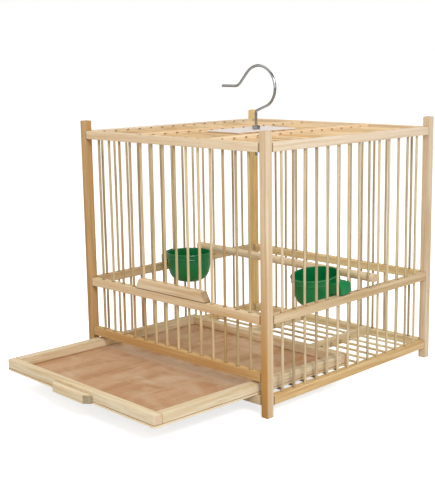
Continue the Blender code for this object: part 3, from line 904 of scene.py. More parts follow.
@dataclass(frozen=True)
class CageSizes:
    """Sizes of the cage, in metres, about its own middle with the feet at zero."""

    shift_y: float
    side: float = 300 * MM
    stick: float = 9.5 * MM
    rail_top: float = 288 * MM
    mid_top: float = 109.4 * MM
    gate_top: float = 47.7 * MM
    bottom_top: float = 22.5 * MM
    hole_radius: float = 1.9 * MM
    bars: int = 14
    door_bars: int = 6
    cup_bars: tuple[int, int] = (5, 6)
    perch_bars: tuple[int, int] = (8, 9)
    roof_bar_z: float = 284.4 * MM
    floor_bar_z: float = 16.6 * MM
    slat_x: float = 56 * MM
    seat: float = 3.0 * MM
    gap: float = 0.5 * MM

    @property
    def inner(self) -> float:
        """Clear width between two posts."""
        return self.side - 2 * self.stick

    @property
    def rail_middle(self) -> float:
        """Distance of a rail's middle from the cage's middle."""
        return (self.side - self.stick) / 2

    @property
    def mid_level(self) -> float:
        """Level of the mid rails' middles."""
        return self.mid_top - self.stick / 2

    @property
    def places(self) -> list[float]:
        """Places of a side's bars along it."""
        pitch = self.inner / (self.bars + 1)
        return [(number - (self.bars - 1) / 2) * pitch for number in range(self.bars)]

    @property
    def door_places(self) -> list[float]:
        """Places of the door's bars."""
        first = (self.bars - self.door_bars) // 2
        return self.places[first:first + self.door_bars]

    @property
    def fixed_places(self) -> list[float]:
        """Places of the fixed bars beside the door."""
        first = (self.bars - self.door_bars) // 2
        return self.places[:first] + self.places[first + self.door_bars:]

    def row(self, side: Side, level: float, along: Sequence[float] | None = None,
            out: float | None = None) -> list[Place]:
        """Points in a row along a side.

        Args:
            side: Side of the cage.
            level: Their height.
            along: Their places along the side, or those of all its bars.
            out: Distance from the cage's middle, or that of the rails' middles.

        Returns:
            The points.
        """
        along = self.places if along is None else along
        away = side.value[1] * (self.rail_middle if out is None else out)
        if side.run is Run.X:
            return [(x, away + self.shift_y, level) for x in along]
        return [(away, y + self.shift_y, level) for y in along]


@dataclass
class Assembly:
    """What every sub-assembly has: the cage's sizes and the workshop."""

    sizes: CageSizes
    shop: Workshop

    def build(self) -> None:
        """Build the sub-assembly."""
        raise NotImplementedError


@dataclass
class BarStock:
    """Bars of one length, each a little out of true."""

    length: float
    run: Run
    bow: float = 0.55 * MM
    steps: int = 8
    sides: int = 12
    kinds: int = 5

    def cut(self, name: str, places: Sequence[Place], calm: Sequence[int] = ()) -> Thing:
        """Cut bars and set them at their places.

        Args:
            name: Name of the joined piece, which has a seed of its own.
            places: Middle of each bar.
            calm: Numbers of the bars that have to be straight.

        Returns:
            One piece that holds all the bars.
        """
        chance = random.Random(BAR_SEEDS[name])
        blanks = [self._blank(chance, self.bow) for _ in range(self.kinds)]
        straight = self._blank(chance, 0.0)
        bars = []
        for number, place in enumerate(places):
            blank = straight if number in calm else chance.choice(blanks)
            turn = Matrix.Rotation(chance.uniform(0, 2 * math.pi), 4, "Z")
            bar = copy_to(blank, Matrix.Translation(place) @ self.run.turned() @ turn)
            tone = bar.data.attributes.new("tone", "FLOAT", "POINT")
            tone.data.foreach_set("value", [chance.random()] * len(bar.data.vertices))
            bars.append(bar)
        for blank in (*blanks, straight):
            bpy.data.objects.remove(blank, do_unlink=True)
        joined = join(bars, name)
        smooth_up_to(joined, 50)
        return joined

    def _blank(self, chance: random.Random, bow: float) -> Thing:
        """Model one upright bar by extruding a disc along a slightly crooked line.

        Args:
            chance: Source of the crookedness.
            bow: Largest sideways reach of the line.

        Returns:
            The bar, about the origin.
        """
        bar = start_from(bpy.ops.mesh.primitive_circle_add, "bar_blank", vertices=self.sides,
                         radius=BAR_RADIUS, fill_type="NGON", location=(0, 0, -self.length / 2))
        belly = bow * chance.uniform(0.4, 1.0)
        wave = bow * chance.uniform(-0.6, 0.6)
        line = [Vector((belly * math.sin(math.pi * share), wave * math.sin(2 * math.pi * share),
                        self.length * share))
                for share in (step / self.steps for step in range(self.steps + 1))]
        with editing(bar):
            for before, after in zip(line, line[1:]):
                bpy.ops.mesh.extrude_region_move(TRANSFORM_OT_translate={"value": after - before})
            bpy.ops.mesh.select_all(action="SELECT")
            bpy.ops.mesh.normals_make_consistent(inside=False)
        return bar


@dataclass
class CageFrame(Assembly):
    """Posts, rails, grilles and bars that stand still."""

    rounding: float = 0.8 * MM

    def build(self) -> None:
        """Build the posts, the rails and every fixed bar."""
        sizes = self.sizes
        self._posts()
        self._top_rails()
        self._lower_rails()
        self._side_grilles()
        self._front()
        self._crosswise("roof", sizes.rail_top, sizes.roof_bar_z, "amber_wood",
                        PlanedSoftwood("amber_slat", Run.Y, "#F6DFBC", "#EABF8C", "#F4CDA2"),
                        DrawnBar("bars_amber", Run.X, "#F4D7AC", "#E6B986", "#E8C796"))
        # The floor bars get paler wood than the other bars: painted light, as they stand in shade
        # under the tray.
        self._crosswise("floor", sizes.bottom_top, sizes.floor_bar_z, "pine",
                        PlanedSoftwood("softwood_floor_slat", Run.Y, "#F4E4C2", "#DDBF8C",
                                       "#EED5AC"),
                        DrawnBar("bars_floor", Run.X, "#F0E0BE", "#DEC49A", "#DCCBA0", "#B79C70"))

    def _posts(self) -> None:
        """Build the four posts."""
        # The front-right and back-right posts also get yellowing and painted shade with warm
        # bounced light on their front faces, most at the front-right post's foot.
        woods = {
            # The front-left post gets darker wood than the other posts.
            "front_left": PlanedSoftwood("softwood_post_darker", Run.Z, "#D3B07C", "#AA7C46",
                                         "#BE9260"),
            "front_right": PlanedSoftwood("softwood_post_foot", Run.Z, "#EADAC0", blush="#E0C6A4",
                                          yellowing_and_shade="#BE832D", yellowing_and_shade_share=0.12, yellowing_and_shade_foot=0.7),
            "back_left": PlanedSoftwood("softwood_post_amber", Run.Z, "#F3D8A0", "#D8AC66",
                                        "#EBC888"),
            "back_right": PlanedSoftwood("softwood_post", Run.Z, "#EADAC0", "#CCAC82", "#E0C8A8",
                                         yellowing_and_shade_share=0.1)}
        for corner, wood in woods.items():
            post = rounded_block(f"{corner}_post", *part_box(f"post_{corner}"), self.rounding)
            self.shop.dress(post, wood)
            self.shop.hand_over(post, "pine", "frame", [f"post_{corner}"])

    def _rail(self, name: str, side: Side, level: float, wood: PlanedSoftwood,
              out: float | None = None) -> Thing:
        """Model a square rail between two posts, with lines of grime and painted shade where it
        meets them.

        Args:
            name: Name of the piece.
            side: Side that it lies on.
            level: Level of its middle.
            wood: Its finish, whose grain gives its axis.
            out: Distance from the cage's middle, or that of the rails on a side.

        Returns:
            The rail, dressed for its faces and its holes, and not drilled yet.
        """
        sizes = self.sizes
        half = [sizes.stick / 2] * 3
        half[wood.run.value] = sizes.inner / 2 - sizes.gap
        centre = Vector(sizes.row(side, level, [0.0], out)[0])
        rail = rounded_block(name, centre - Vector(half), centre + Vector(half), self.rounding)
        jointed = replace(wood, name=wood.name + "_jointed", joint_reach=sizes.inner / 2,
                          joint_middle=sizes.shift_y if wood.run is Run.Y else 0.0)
        return self.shop.dress(rail, jointed, ScorchedShadedBore("scorched_shaded_bore"))

    def _seat(self, rail: Thing, run: Run, mouths: Sequence[Place], sunk: float = 0.9 * MM,
              wide: float = 2.3 * MM) -> None:
        """Drill the seats of the bars in one face, each with a countersink whose dark walls are
        partly scorch and partly painted shade.

        Args:
            rail: Piece to drill.
            run: Axis of the bars.
            mouths: Middle of each seat's mouth.
            sunk: Depth of the countersink.
            wide: Radius of the countersink.
        """
        drill(rail, run, mouths, self.sizes.hole_radius, 2 * self.sizes.seat)
        drill(rail, run, mouths, wide, 2 * sunk)

    def _pass_bars(self, rail: Thing, run: Run, middles: Sequence[Place], slack: float = 0.0,
                   sunk: float = 0.9 * MM, wide: float = 2.3 * MM) -> None:
        """Drill right through for the bars, with a countersink in both faces.

        Args:
            rail: Piece to drill.
            run: Axis of the bars.
            middles: Middle of each hole.
            slack: What the holes are wider than a seat.
            sunk: Depth of the countersinks.
            wide: Radius of the countersinks.
        """
        stick = self.sizes.stick
        drill(rail, run, middles, self.sizes.hole_radius + slack, 2 * stick)
        for step in (-stick / 2, stick / 2):
            faces = [tuple(part + step if axis == run.value else part
                           for axis, part in enumerate(middle)) for middle in middles]
            drill(rail, run, faces, wide, 2 * sunk)

    def _top_rails(self) -> None:
        """Build the four top rails with their seats."""
        sizes = self.sizes
        woods = {
            Run.X: PlanedSoftwood("softwood_top_crosswise", Run.X, "#F0DCBD", "#DCBA8F", "#E8CAA7"),
            Run.Y: PlanedSoftwood("softwood_top_front_to_back", Run.Y, "#EFDFC7", "#DBC09C",
                                  "#E8D1B6")}
        level = sizes.rail_top - sizes.stick / 2
        under = sizes.rail_top - sizes.stick
        for side in Side:
            rail = self._rail(f"{side.word}_top_rail", side, level, woods[side.run])
            if side is Side.FRONT:
                self._seat(rail, Run.Z, sizes.row(side, under, sizes.fixed_places))
                drill(rail, Run.Z, sizes.row(side, level, sizes.door_places), sizes.hole_radius,
                      3 * sizes.stick)
            else:
                self._seat(rail, Run.Z, sizes.row(side, under))
            if side.run is Run.Y:
                self._seat(rail, Run.X, sizes.row(side, sizes.roof_bar_z, out=sizes.inner / 2),
                           1.5 * MM, 2.4 * MM)
            self.shop.hand_over(rail, "pine", "frame", [f"top_rail_{side.word}"])

    def _lower_rails(self) -> None:
        """Build the bottom rails and the rail above the tray."""
        sizes = self.sizes
        deep = PlanedSoftwood("softwood_bottom", Run.Y, "#E9CB98", "#C79A5C")
        woods = {
            Side.FRONT: PlanedSoftwood("softwood_crosswise", Run.X),
            # The back bottom rail gets paler wood than the other bottom rails: painted light, as it
            # stands in shade at the floor.
            Side.BACK: PlanedSoftwood("softwood_back_foot", Run.X, "#F2E2BC", "#DABB82", "#ECD3A6"),
            Side.LEFT: deep, Side.RIGHT: deep}
        for side, wood in woods.items():
            rail = self._rail(f"{side.word}_bottom_rail", side, sizes.bottom_top - sizes.stick / 2,
                              wood)
            if side is Side.BACK:
                self._seat(rail, Run.Z, sizes.row(side, sizes.bottom_top))
            if side.run is Run.Y:
                self._seat(rail, Run.Z, sizes.row(side, sizes.bottom_top), 0.4 * MM, 1.9 * MM)
                self._seat(rail, Run.X, sizes.row(side, sizes.floor_bar_z, out=sizes.inner / 2),
                           0.5 * MM, 2.0 * MM)
            self.shop.hand_over(rail, "pine", "frame", [f"bottom_rail_{side.word}"])
        # The gate rail's front faces get much yellowing and painted shade with warm bounced light.
        orange = PlanedSoftwood("softwood_gate", Run.X, "#E6C691", "#C4965A", "#D8AD72",
                                yellowing_and_shade="#AE7832", yellowing_and_shade_share=0.35)
        gate = self._rail("tray_gate_rail", Side.FRONT, sizes.gate_top - sizes.stick / 2, orange)
        self._seat(gate, Run.Z, sizes.row(Side.FRONT, sizes.gate_top))
        self.shop.hand_over(gate, "pine", "frame", ["gate_rail"])

    def _side_grilles(self) -> None:
        """Build the left, right and back mid rails with the bars through them."""
        sizes = self.sizes
        low = sizes.bottom_top - sizes.seat
        high = sizes.rail_top - sizes.stick + sizes.seat
        stock = BarStock(high - low, Run.Z)
        deep = PlanedSoftwood("softwood_middle", Run.Y, "#DFCAA7", "#C4A374")
        yellow = PlanedSoftwood("softwood_back", Run.X, "#F2E0B4", "#D8B676", "#EACF9E")
        calm = (*sizes.cup_bars, *sizes.perch_bars)
        for side, wood, straight in ((Side.LEFT, deep, calm), (Side.RIGHT, deep, calm),
                                     (Side.BACK, yellow, ())):
            rail = self._rail(f"{side.word}_mid_rail", side, sizes.mid_level, wood)
            self._pass_bars(rail, Run.Z, sizes.row(side, sizes.mid_level))
            self.shop.hand_over(rail, "bar_wood", "frame", [f"grille_{side.word}"])
            bars = stock.cut(f"{side.word}_bars", sizes.row(side, (low + high) / 2), straight)
            self.shop.dress(bars, DrawnBar("bars_upright", Run.Z))
            self.shop.hand_over(bars, "bar_wood", "frame", smooth=None)

    def _front(self) -> None:
        """Build the front mid rail, its short bars and the fixed bars beside the doorway."""
        sizes = self.sizes
        level = sizes.mid_level
        under = level - sizes.stick / 2
        # Its front faces get some yellowing and painted shade.
        wood = PlanedSoftwood("softwood_crosswise_aged", Run.X, "#F0DCB8", "#D4AE79",
                              yellowing_and_shade_share=0.1)
        rail = self._rail("front_mid_rail", Side.FRONT, level, wood)
        self._pass_bars(rail, Run.Z, sizes.row(Side.FRONT, level, sizes.fixed_places))
        self._seat(rail, Run.Z, sizes.row(Side.FRONT, under, sizes.door_places))
        self.shop.hand_over(rail, "pine", "frame", ["mid_rail_front"])
        low = sizes.gate_top - sizes.seat
        top = under + sizes.seat
        high = sizes.rail_top - sizes.stick + sizes.seat
        short = BarStock(top - low, Run.Z, bow=0.25 * MM, steps=4).cut(
            "front_short_bars", sizes.row(Side.FRONT, (low + top) / 2, sizes.door_places))
        fixed = BarStock(high - low, Run.Z).cut(
            "front_fixed_bars", sizes.row(Side.FRONT, (low + high) / 2, sizes.fixed_places))
        fixed_nodes = [f"front_bar_{number}" for number in range(1, 9)]
        for bars, nodes in ((short, ()), (fixed, fixed_nodes)):
            self.shop.dress(bars, GOLDEN_BARS)
            self.shop.hand_over(bars, "bar_wood", "frame", nodes, smooth=None)

    def _crosswise(self, name: str, top: float, bar_z: float, slot: str, wood: PlanedSoftwood,
                   tint: DrawnBar) -> None:
        """Build two slats from front to back with the bars that cross them.

        Args:
            name: Roof or floor.
            top: Level of the slats' upper faces.
            bar_z: Level of the bars' middles.
            slot: Material slot of the record.
            wood: Finish of the slats.
            tint: Finish of the bars.
        """
        sizes = self.sizes
        for side in (Side.LEFT, Side.RIGHT):
            slat = self._rail(f"{name}_slat_{side.word}", side, top - sizes.stick / 2, wood,
                              sizes.slat_x)
            self._pass_bars(slat, Run.X, sizes.row(side, bar_z, out=sizes.slat_x),
                            slack=0.2 * MM, sunk=1.5 * MM, wide=2.4 * MM)
            self.shop.hand_over(slat, slot, "frame", [f"{name}_grille"])
        stock = BarStock(sizes.inner + 2 * sizes.seat, Run.X, bow=0.3 * MM)
        bars = stock.cut(f"{name}_bars", sizes.row(Side.RIGHT, bar_z, out=0.0))
        self.shop.dress(bars, tint)
        self.shop.hand_over(bars, slot, "frame", smooth=None)


@dataclass
class LiftDoor(Assembly):
    """Bevelled strip and six bars that lift through the top rail."""

    height: float = 11.5 * MM
    margin: float = 11.3 * MM
    bevel: float = 6.5 * MM
    rounding: float = 0.6 * MM
    rest: float = 0.3 * MM
    hole_radius: float = 1.75 * MM
    bar_top: float = 287.4 * MM

    def build(self) -> None:
        """Build the door's strip and its bars."""
        sizes = self.sizes
        bottom = sizes.mid_top + self.rest
        top = bottom + self.height
        middle = bottom + self.height / 2
        half = Vector((sizes.door_places[-1] + self.margin, sizes.stick / 2, self.height / 2))
        centre = Vector(sizes.row(Side.FRONT, middle, [0.0])[0])
        moves = ((lambda at: at.z > middle and at.x < 0, (self.bevel, 0, 0)),
                 (lambda at: at.z > middle and at.x > 0, (-self.bevel, 0, 0)))
        # The strip's foot gets a painted shadow line.
        wood = PlanedSoftwood("door_strip_wood", Run.X, "#F2E2C4", "#D2B083", "#E7CDA8",
                              cut_end="#7E5C34", cut_from=0.3, foot_level=bottom, mark_share=0.07,
                              lines=replace(PlanedSoftwood.lines, across_mm=1.1))
        strip = rounded_block("door_strip", centre - half, centre + half, self.rounding,
                              moves=moves)
        self.shop.dress(strip, wood, ScorchedShadedBore("scorched_shaded_bore"))
        drill(strip, Run.Z, sizes.row(Side.FRONT, top, sizes.door_places), self.hole_radius,
              2 * sizes.seat)
        self.shop.hand_over(strip, "bar_wood", "door", ["lift_door"])
        low = top - sizes.seat
        bars = BarStock(self.bar_top - low, Run.Z, bow=0.1 * MM).cut(
            "door_bars", sizes.row(Side.FRONT, (low + self.bar_top) / 2, sizes.door_places))
        self.shop.dress(bars, GOLDEN_BARS)
        self.shop.hand_over(bars, "bar_wood", "door", smooth=None)


@dataclass
class SlideTray(Assembly):
    """Tray of thin board with four walls and a pull, a little askew in its slot."""

    pulled_out: float = 130 * MM
    skew: float = math.radians(2.5)
    play: float = 0.8 * MM
    board: float = 2.2 * MM
    wall: float = 10 * MM
    wall_height: float = 10.3 * MM
    gap: float = 0.3 * MM
    pull_front: float = 55 * MM
    pull_flare: float = 8.5 * MM
    pull_depth: float = 7.2 * MM
    pull_height: float = 9.5 * MM
    pull_offset: float = 3 * MM
    soft: float = 0.9 * MM
    side_soft: float = 0.72 * MM
    board_corner: float = 2.0 * MM
    wall_corner: float = 2.4 * MM
    # How far ahead of the cage's middle the painted light band lies
    lit_band_ahead: float = 136 * MM

    @property
    def depth(self) -> float:
        """Depth of the tray, which fits askew between the posts."""
        sizes = self.sizes
        return sizes.side - sizes.stick - self.play - sizes.inner / 2 * math.sin(self.skew)

    @property
    def width(self) -> float:
        """Width of the tray, which fits askew between the posts."""
        return self.sizes.inner - 2 * self.play - self.depth * math.sin(self.skew)

    @property
    def base(self) -> float:
        """Level of the walls' undersides above the board's."""
        return self.board + self.gap

    def build(self) -> None:
        """Build the board, the walls and the pull, then turn them into the slot."""
        sizes = self.sizes
        depth = self.depth
        front = Vector((-depth / 2 * math.sin(self.skew),
                        sizes.shift_y - sizes.side / 2 - self.pulled_out,
                        sizes.bottom_top + self.gap))
        place = Matrix.Translation(front) @ Matrix.Rotation(-self.skew, 4, "Z")
        board = VeneeredBoard("veneered_board", sizes.shift_y - self.lit_band_ahead)
        # The front faces of the front and back walls get a little yellowing and painted shade.
        across = PlanedSoftwood("tray_softwood_crosswise", Run.X, "#F1E3C6", "#D9BE90", "#E8D2AE",
                                cut_end="#D3AE93", yellowing_and_shade_share=0.06)
        deep = PlanedSoftwood("tray_softwood_front_to_back", Run.Y, "#EADBBE", "#D0B486", "#E0C9A5")
        ends = replace(across, name="tray_softwood_pull", cut_end="#463A1E", cut_from=0.3)
        for piece, finish, slot, node in (
                (self._floor(), board, "plywood", "board"),
                (self._end_wall("front", 0, self.wall), across, "pine", "wall_front"),
                (self._end_wall("back", depth - self.wall, depth), across, "pine", "wall_back"),
                (self._side_wall("left", -1), deep, "pine", "wall_left"),
                (self._side_wall("right", 1), deep, "pine", "wall_right"),
                (self._pull(), ends, "pine", "handle")):
            piece.data.transform(place)
            self.shop.dress(piece, finish)
            self.shop.hand_over(piece, slot, "tray", [f"tray_{node}"])

    def _floor(self) -> Thing:
        """Model the board with its four corners rounded in plan.

        Returns:
            The board, in the tray's own place.
        """
        middle = self.board / 2
        return rounded_block("tray_floor", (-self.width / 2, 0, 0),
                             (self.width / 2, self.depth, self.board), 0.25 * MM, 2,
                             corners=lambda at: abs(at.z - middle) < HAIR,
                             corner_radius=self.board_corner)

    def _end_wall(self, name: str, near: float, far: float) -> Thing:
        """Model the front or back wall, which runs over the whole width.

        Args:
            name: Front or back.
            near: Depth of its front face.
            far: Depth of its back face.

        Returns:
            The wall, in the tray's own place.
        """
        middle = self.base + self.wall_height / 2
        outer = near if near == 0 else far
        return rounded_block(
            f"{name}_tray_wall", (-self.width / 2, near, self.base),
            (self.width / 2, far, self.base + self.wall_height), self.soft, 4,
            corners=lambda at: abs(at.z - middle) < HAIR and abs(at.y - outer) < HAIR,
            corner_radius=self.wall_corner)

    def _side_wall(self, name: str, sign: int) -> Thing:
        """Model the left or right wall, which fits between the other two.

        Args:
            name: Left or right.
            sign: Minus one for the left, one for the right.

        Returns:
            The wall, in the tray's own place.
        """
        middle = sign * (self.width - self.wall) / 2
        reach = self.wall + self.gap / 2
        return rounded_block(f"{name}_tray_wall", (middle - self.wall / 2, reach, self.base),
                             (middle + self.wall / 2, self.depth - reach,
                              self.base + self.wall_height), self.side_soft, 4)

    def _pull(self) -> Thing:
        """Model the pull, whose ends are cut slantwise.

        Returns:
            The pull, in the tray's own place.
        """
        half = self.pull_front / 2
        back = -self.gap - self.pull_depth / 2
        moves = ((lambda at: at.y > back and at.x < 0, (-self.pull_flare, 0, 0)),
                 (lambda at: at.y > back and at.x > 0, (self.pull_flare, 0, 0)))
        low = (-half - self.pull_offset, -self.gap - self.pull_depth, 0)
        high = (half - self.pull_offset, -self.gap, self.pull_height)
        return rounded_block("tray_pull", low, high, self.soft, 4, moves)


@dataclass
class FeederCup(Assembly):
    """Moulded cup that grips two neighbouring bars."""

    name: str
    sign: int
    tilt: float
    reach: float = 39.2 * MM
    rim_above_neck: float = 11.0 * MM
    rim_radius: float = 28.9 * MM
    radius: float = 28.0 * MM
    lip: float = 1.3 * MM
    soft: float = 0.3 * MM
    band: float = 7.3 * MM
    step: float = 0.8 * MM
    bead: float = 0.45 * MM
    depth: float = 38.0 * MM
    foot: float = 12.5 * MM
    wall: float = 1.6 * MM
    power: float = 3.2
    curve_steps: int = 14
    turns: int = 96
    clip_width: float = 17.5 * MM
    clip_height: float = 12.6 * MM
    lug_thickness: float = 3.0 * MM
    lug_rise: float = 3.4 * MM
    lug_edge: float = 2.8 * MM
    lug_slant: float = 3.0 * MM
    neck_width: float = 10.0 * MM
    slack: float = 0.3 * MM

    def build(self) -> None:
        """Build the cup about its neck and set it on its bars."""
        cup = self._spun(f"{self.name}_moulding", self._profile())
        for block in self._clip():
            apply_boolean(cup, block, Cut.TOGETHER)
        apply_boolean(cup, self._cavity(), Cut.AWAY)
        near, far = (self.sizes.places[number] for number in self.sizes.cup_bars)
        drop = (self.clip_height / 2 * math.cos(self.tilt)
                + self.clip_width / 2 * math.sin(self.tilt))
        middle = Vector((self.sign * self.sizes.rail_middle, (near + far) / 2 + self.sizes.shift_y,
                         self.sizes.mid_top + self.slack + drop))
        turn = Matrix.Rotation(self.tilt, 4, "X")
        if self.sign < 0:
            turn = Matrix.Rotation(math.pi, 4, "Z") @ turn
        cup.data.transform(Matrix.Translation(middle) @ turn)
        self.shop.dress(cup, MouldedPolystyrene("green_polystyrene"))
        self.shop.hand_over(cup, "green_plastic", self.name, [self.name], smooth=32)

    def _profile(self) -> list[tuple[float, float]]:
        """Outer half section of the bowl, from its rim to its foot.

        Returns:
            Radius and height of each point.
        """
        waist = self.radius - self.step
        last = math.asin((1 - (self.foot / waist) ** self.power) ** (1 / self.power))
        curve = []
        for count in range(self.curve_steps + 1):
            share = math.sin(last * count / self.curve_steps)
            curve.append((waist * (1 - share ** self.power) ** (1 / self.power),
                          -self.band - (self.depth - self.band) * share))
        rim, lip, soft, band = self.rim_radius, self.lip, self.soft, self.band
        proud = self.radius + self.bead
        return [(0, 0), (rim - 3 * soft, 0), (rim - soft, -soft), (rim, -3 * soft),
                (rim, -lip + soft / 2), (rim - soft / 2, -lip), (self.radius, -lip - soft / 2),
                (self.radius, -band + 5 * soft), (proud - soft / 2, -band + 3 * soft),
                (proud, -band + 2 * soft), (proud, -band + soft), (self.radius - soft, -band),
                *curve]

    def _spun(self, name: str, profile: Sequence[tuple[float, float]]) -> Thing:
        """Spin a half section about the bowl's axis into a closed solid.

        Args:
            name: Name of the object.
            profile: Radius and height of each point, starting on the axis.

        Returns:
            The solid, hung from the neck.
        """
        points = [Vector((radius, 0, height)) for radius, height in (*profile, (0, profile[-1][1]))]
        mesh = bpy.data.meshes.new(name)
        mesh.from_pydata(points, [(index, index + 1) for index in range(len(points) - 1)], [])
        solid = put_in_scene(name, mesh)
        with editing(solid):
            bpy.ops.mesh.spin(steps=self.turns, angle=2 * math.pi, center=(0, 0, 0), axis=(0, 0, 1))
            bpy.ops.mesh.select_all(action="SELECT")
            bpy.ops.mesh.remove_doubles(threshold=0.01 * MM)
            bpy.ops.mesh.normals_make_consistent(inside=False)
        solid.data.transform(Matrix.Translation((-self.reach, 0, self.rim_above_neck)))
        return solid

    def _cavity(self) -> Thing:
        """Model the space inside the bowl, whose mouth is rounded.

        Returns:
            The space, hung from the neck.
        """
        mouth = self.radius - self.wall
        above = 2 * MM
        inner = [(radius - self.wall, min(height + self.wall, -self.band))
                 for radius, height in self._profile() if height < -self.band]
        return self._spun("cavity", [(0, above), (mouth + 0.8 * MM, above),
                                     (mouth + self.soft, -self.soft), (mouth, -3 * self.soft),
                                     *inner[1:]])

    def _clip(self) -> list[Thing]:
        """Model the shoulder, the neck and the wedge-shaped outer lug that grip the bars.

        Returns:
            The three blocks.
        """
        high = self.clip_height / 2
        half = self.clip_width / 2
        neck_half = self.neck_width / 2
        face = BAR_RADIUS + self.slack
        embed = self.reach - self.radius + self.wall + self.step
        top = high + self.lug_rise
        outside = face + self.lug_thickness / 2
        moves = ((lambda at: at.x > outside and at.z > 0, (0, 0, self.lug_edge - top)),
                 (lambda at: at.x < outside and at.z > 0 and at.y > 0, (0, 0, -self.lug_slant)))
        return [rounded_block("shoulder", (-embed, -half, -high), (-face, half, high), 0.4 * MM, 2),
                rounded_block("neck", (-embed, -neck_half, self.slack - high),
                              (face + self.lug_thickness / 3, neck_half,
                               top - self.lug_slant - self.slack), 0.3 * MM, 2),
                rounded_block("lug", (face, -half, -high), (face + self.lug_thickness, half, top),
                              0.5 * MM, 3, moves)]


@dataclass
class Perch(Assembly):
    """Dowel held between two bars by a notch at each end."""

    radius: float = 5.0 * MM
    level: float = 121.0 * MM
    tip: float = 7.3 * MM
    grip: float = 3.2 * MM
    slack: float = 0.3 * MM
    edge: float = 0.5 * MM

    def build(self) -> None:
        """Turn the dowel, notch it and set it between its bars."""
        sizes = self.sizes
        bars = {sign: Vector((sign * sizes.rail_middle, sizes.places[number] + sizes.shift_y,
                              self.level))
                for sign, number in zip((1, -1), sizes.perch_bars)}
        ends = {sign: bar + Vector((0, sign * self.grip, 0)) for sign, bar in bars.items()}
        span = ends[1] - ends[-1]
        length = span.length + 2 * self.tip
        dowel = start_from(bpy.ops.mesh.primitive_cylinder_add, "perch_dowel", vertices=40,
                           radius=self.radius, depth=length, rotation=(0, math.pi / 2, 0))
        with editing(dowel):
            select_where(dowel, Pick.EDGES, lambda at: abs(at.x) > length / 2 - HAIR)
            bpy.ops.mesh.bevel(offset=self.edge, segments=2, affect="EDGES")
        dowel.data.transform(Matrix.Translation((ends[1] + ends[-1]) / 2)
                             @ Matrix.Rotation(math.atan2(span.y, span.x), 4, "Z"))
        slack = BAR_RADIUS + self.slack
        reach = Vector((slack, 0, 2 * self.radius))
        for sign, bar in bars.items():
            near = bar + Vector((0, sign * slack, 0))
            far = bar - Vector((0, sign * 2 * self.radius, 0))
            low = Vector(map(min, near, far)) - reach
            high = Vector(map(max, near, far)) + reach
            apply_boolean(dowel, rounded_block("notch", low, high, 0.2 * MM, 1), Cut.AWAY)
        self.shop.dress(dowel, PlanedSoftwood("turned_softwood", Run.X, "#F2E4C8", "#DCC193",
                                              "#EBD6B4", cut_end="#C99F7C"))
        self.shop.hand_over(dowel, "pine", "perch", ["perch"])


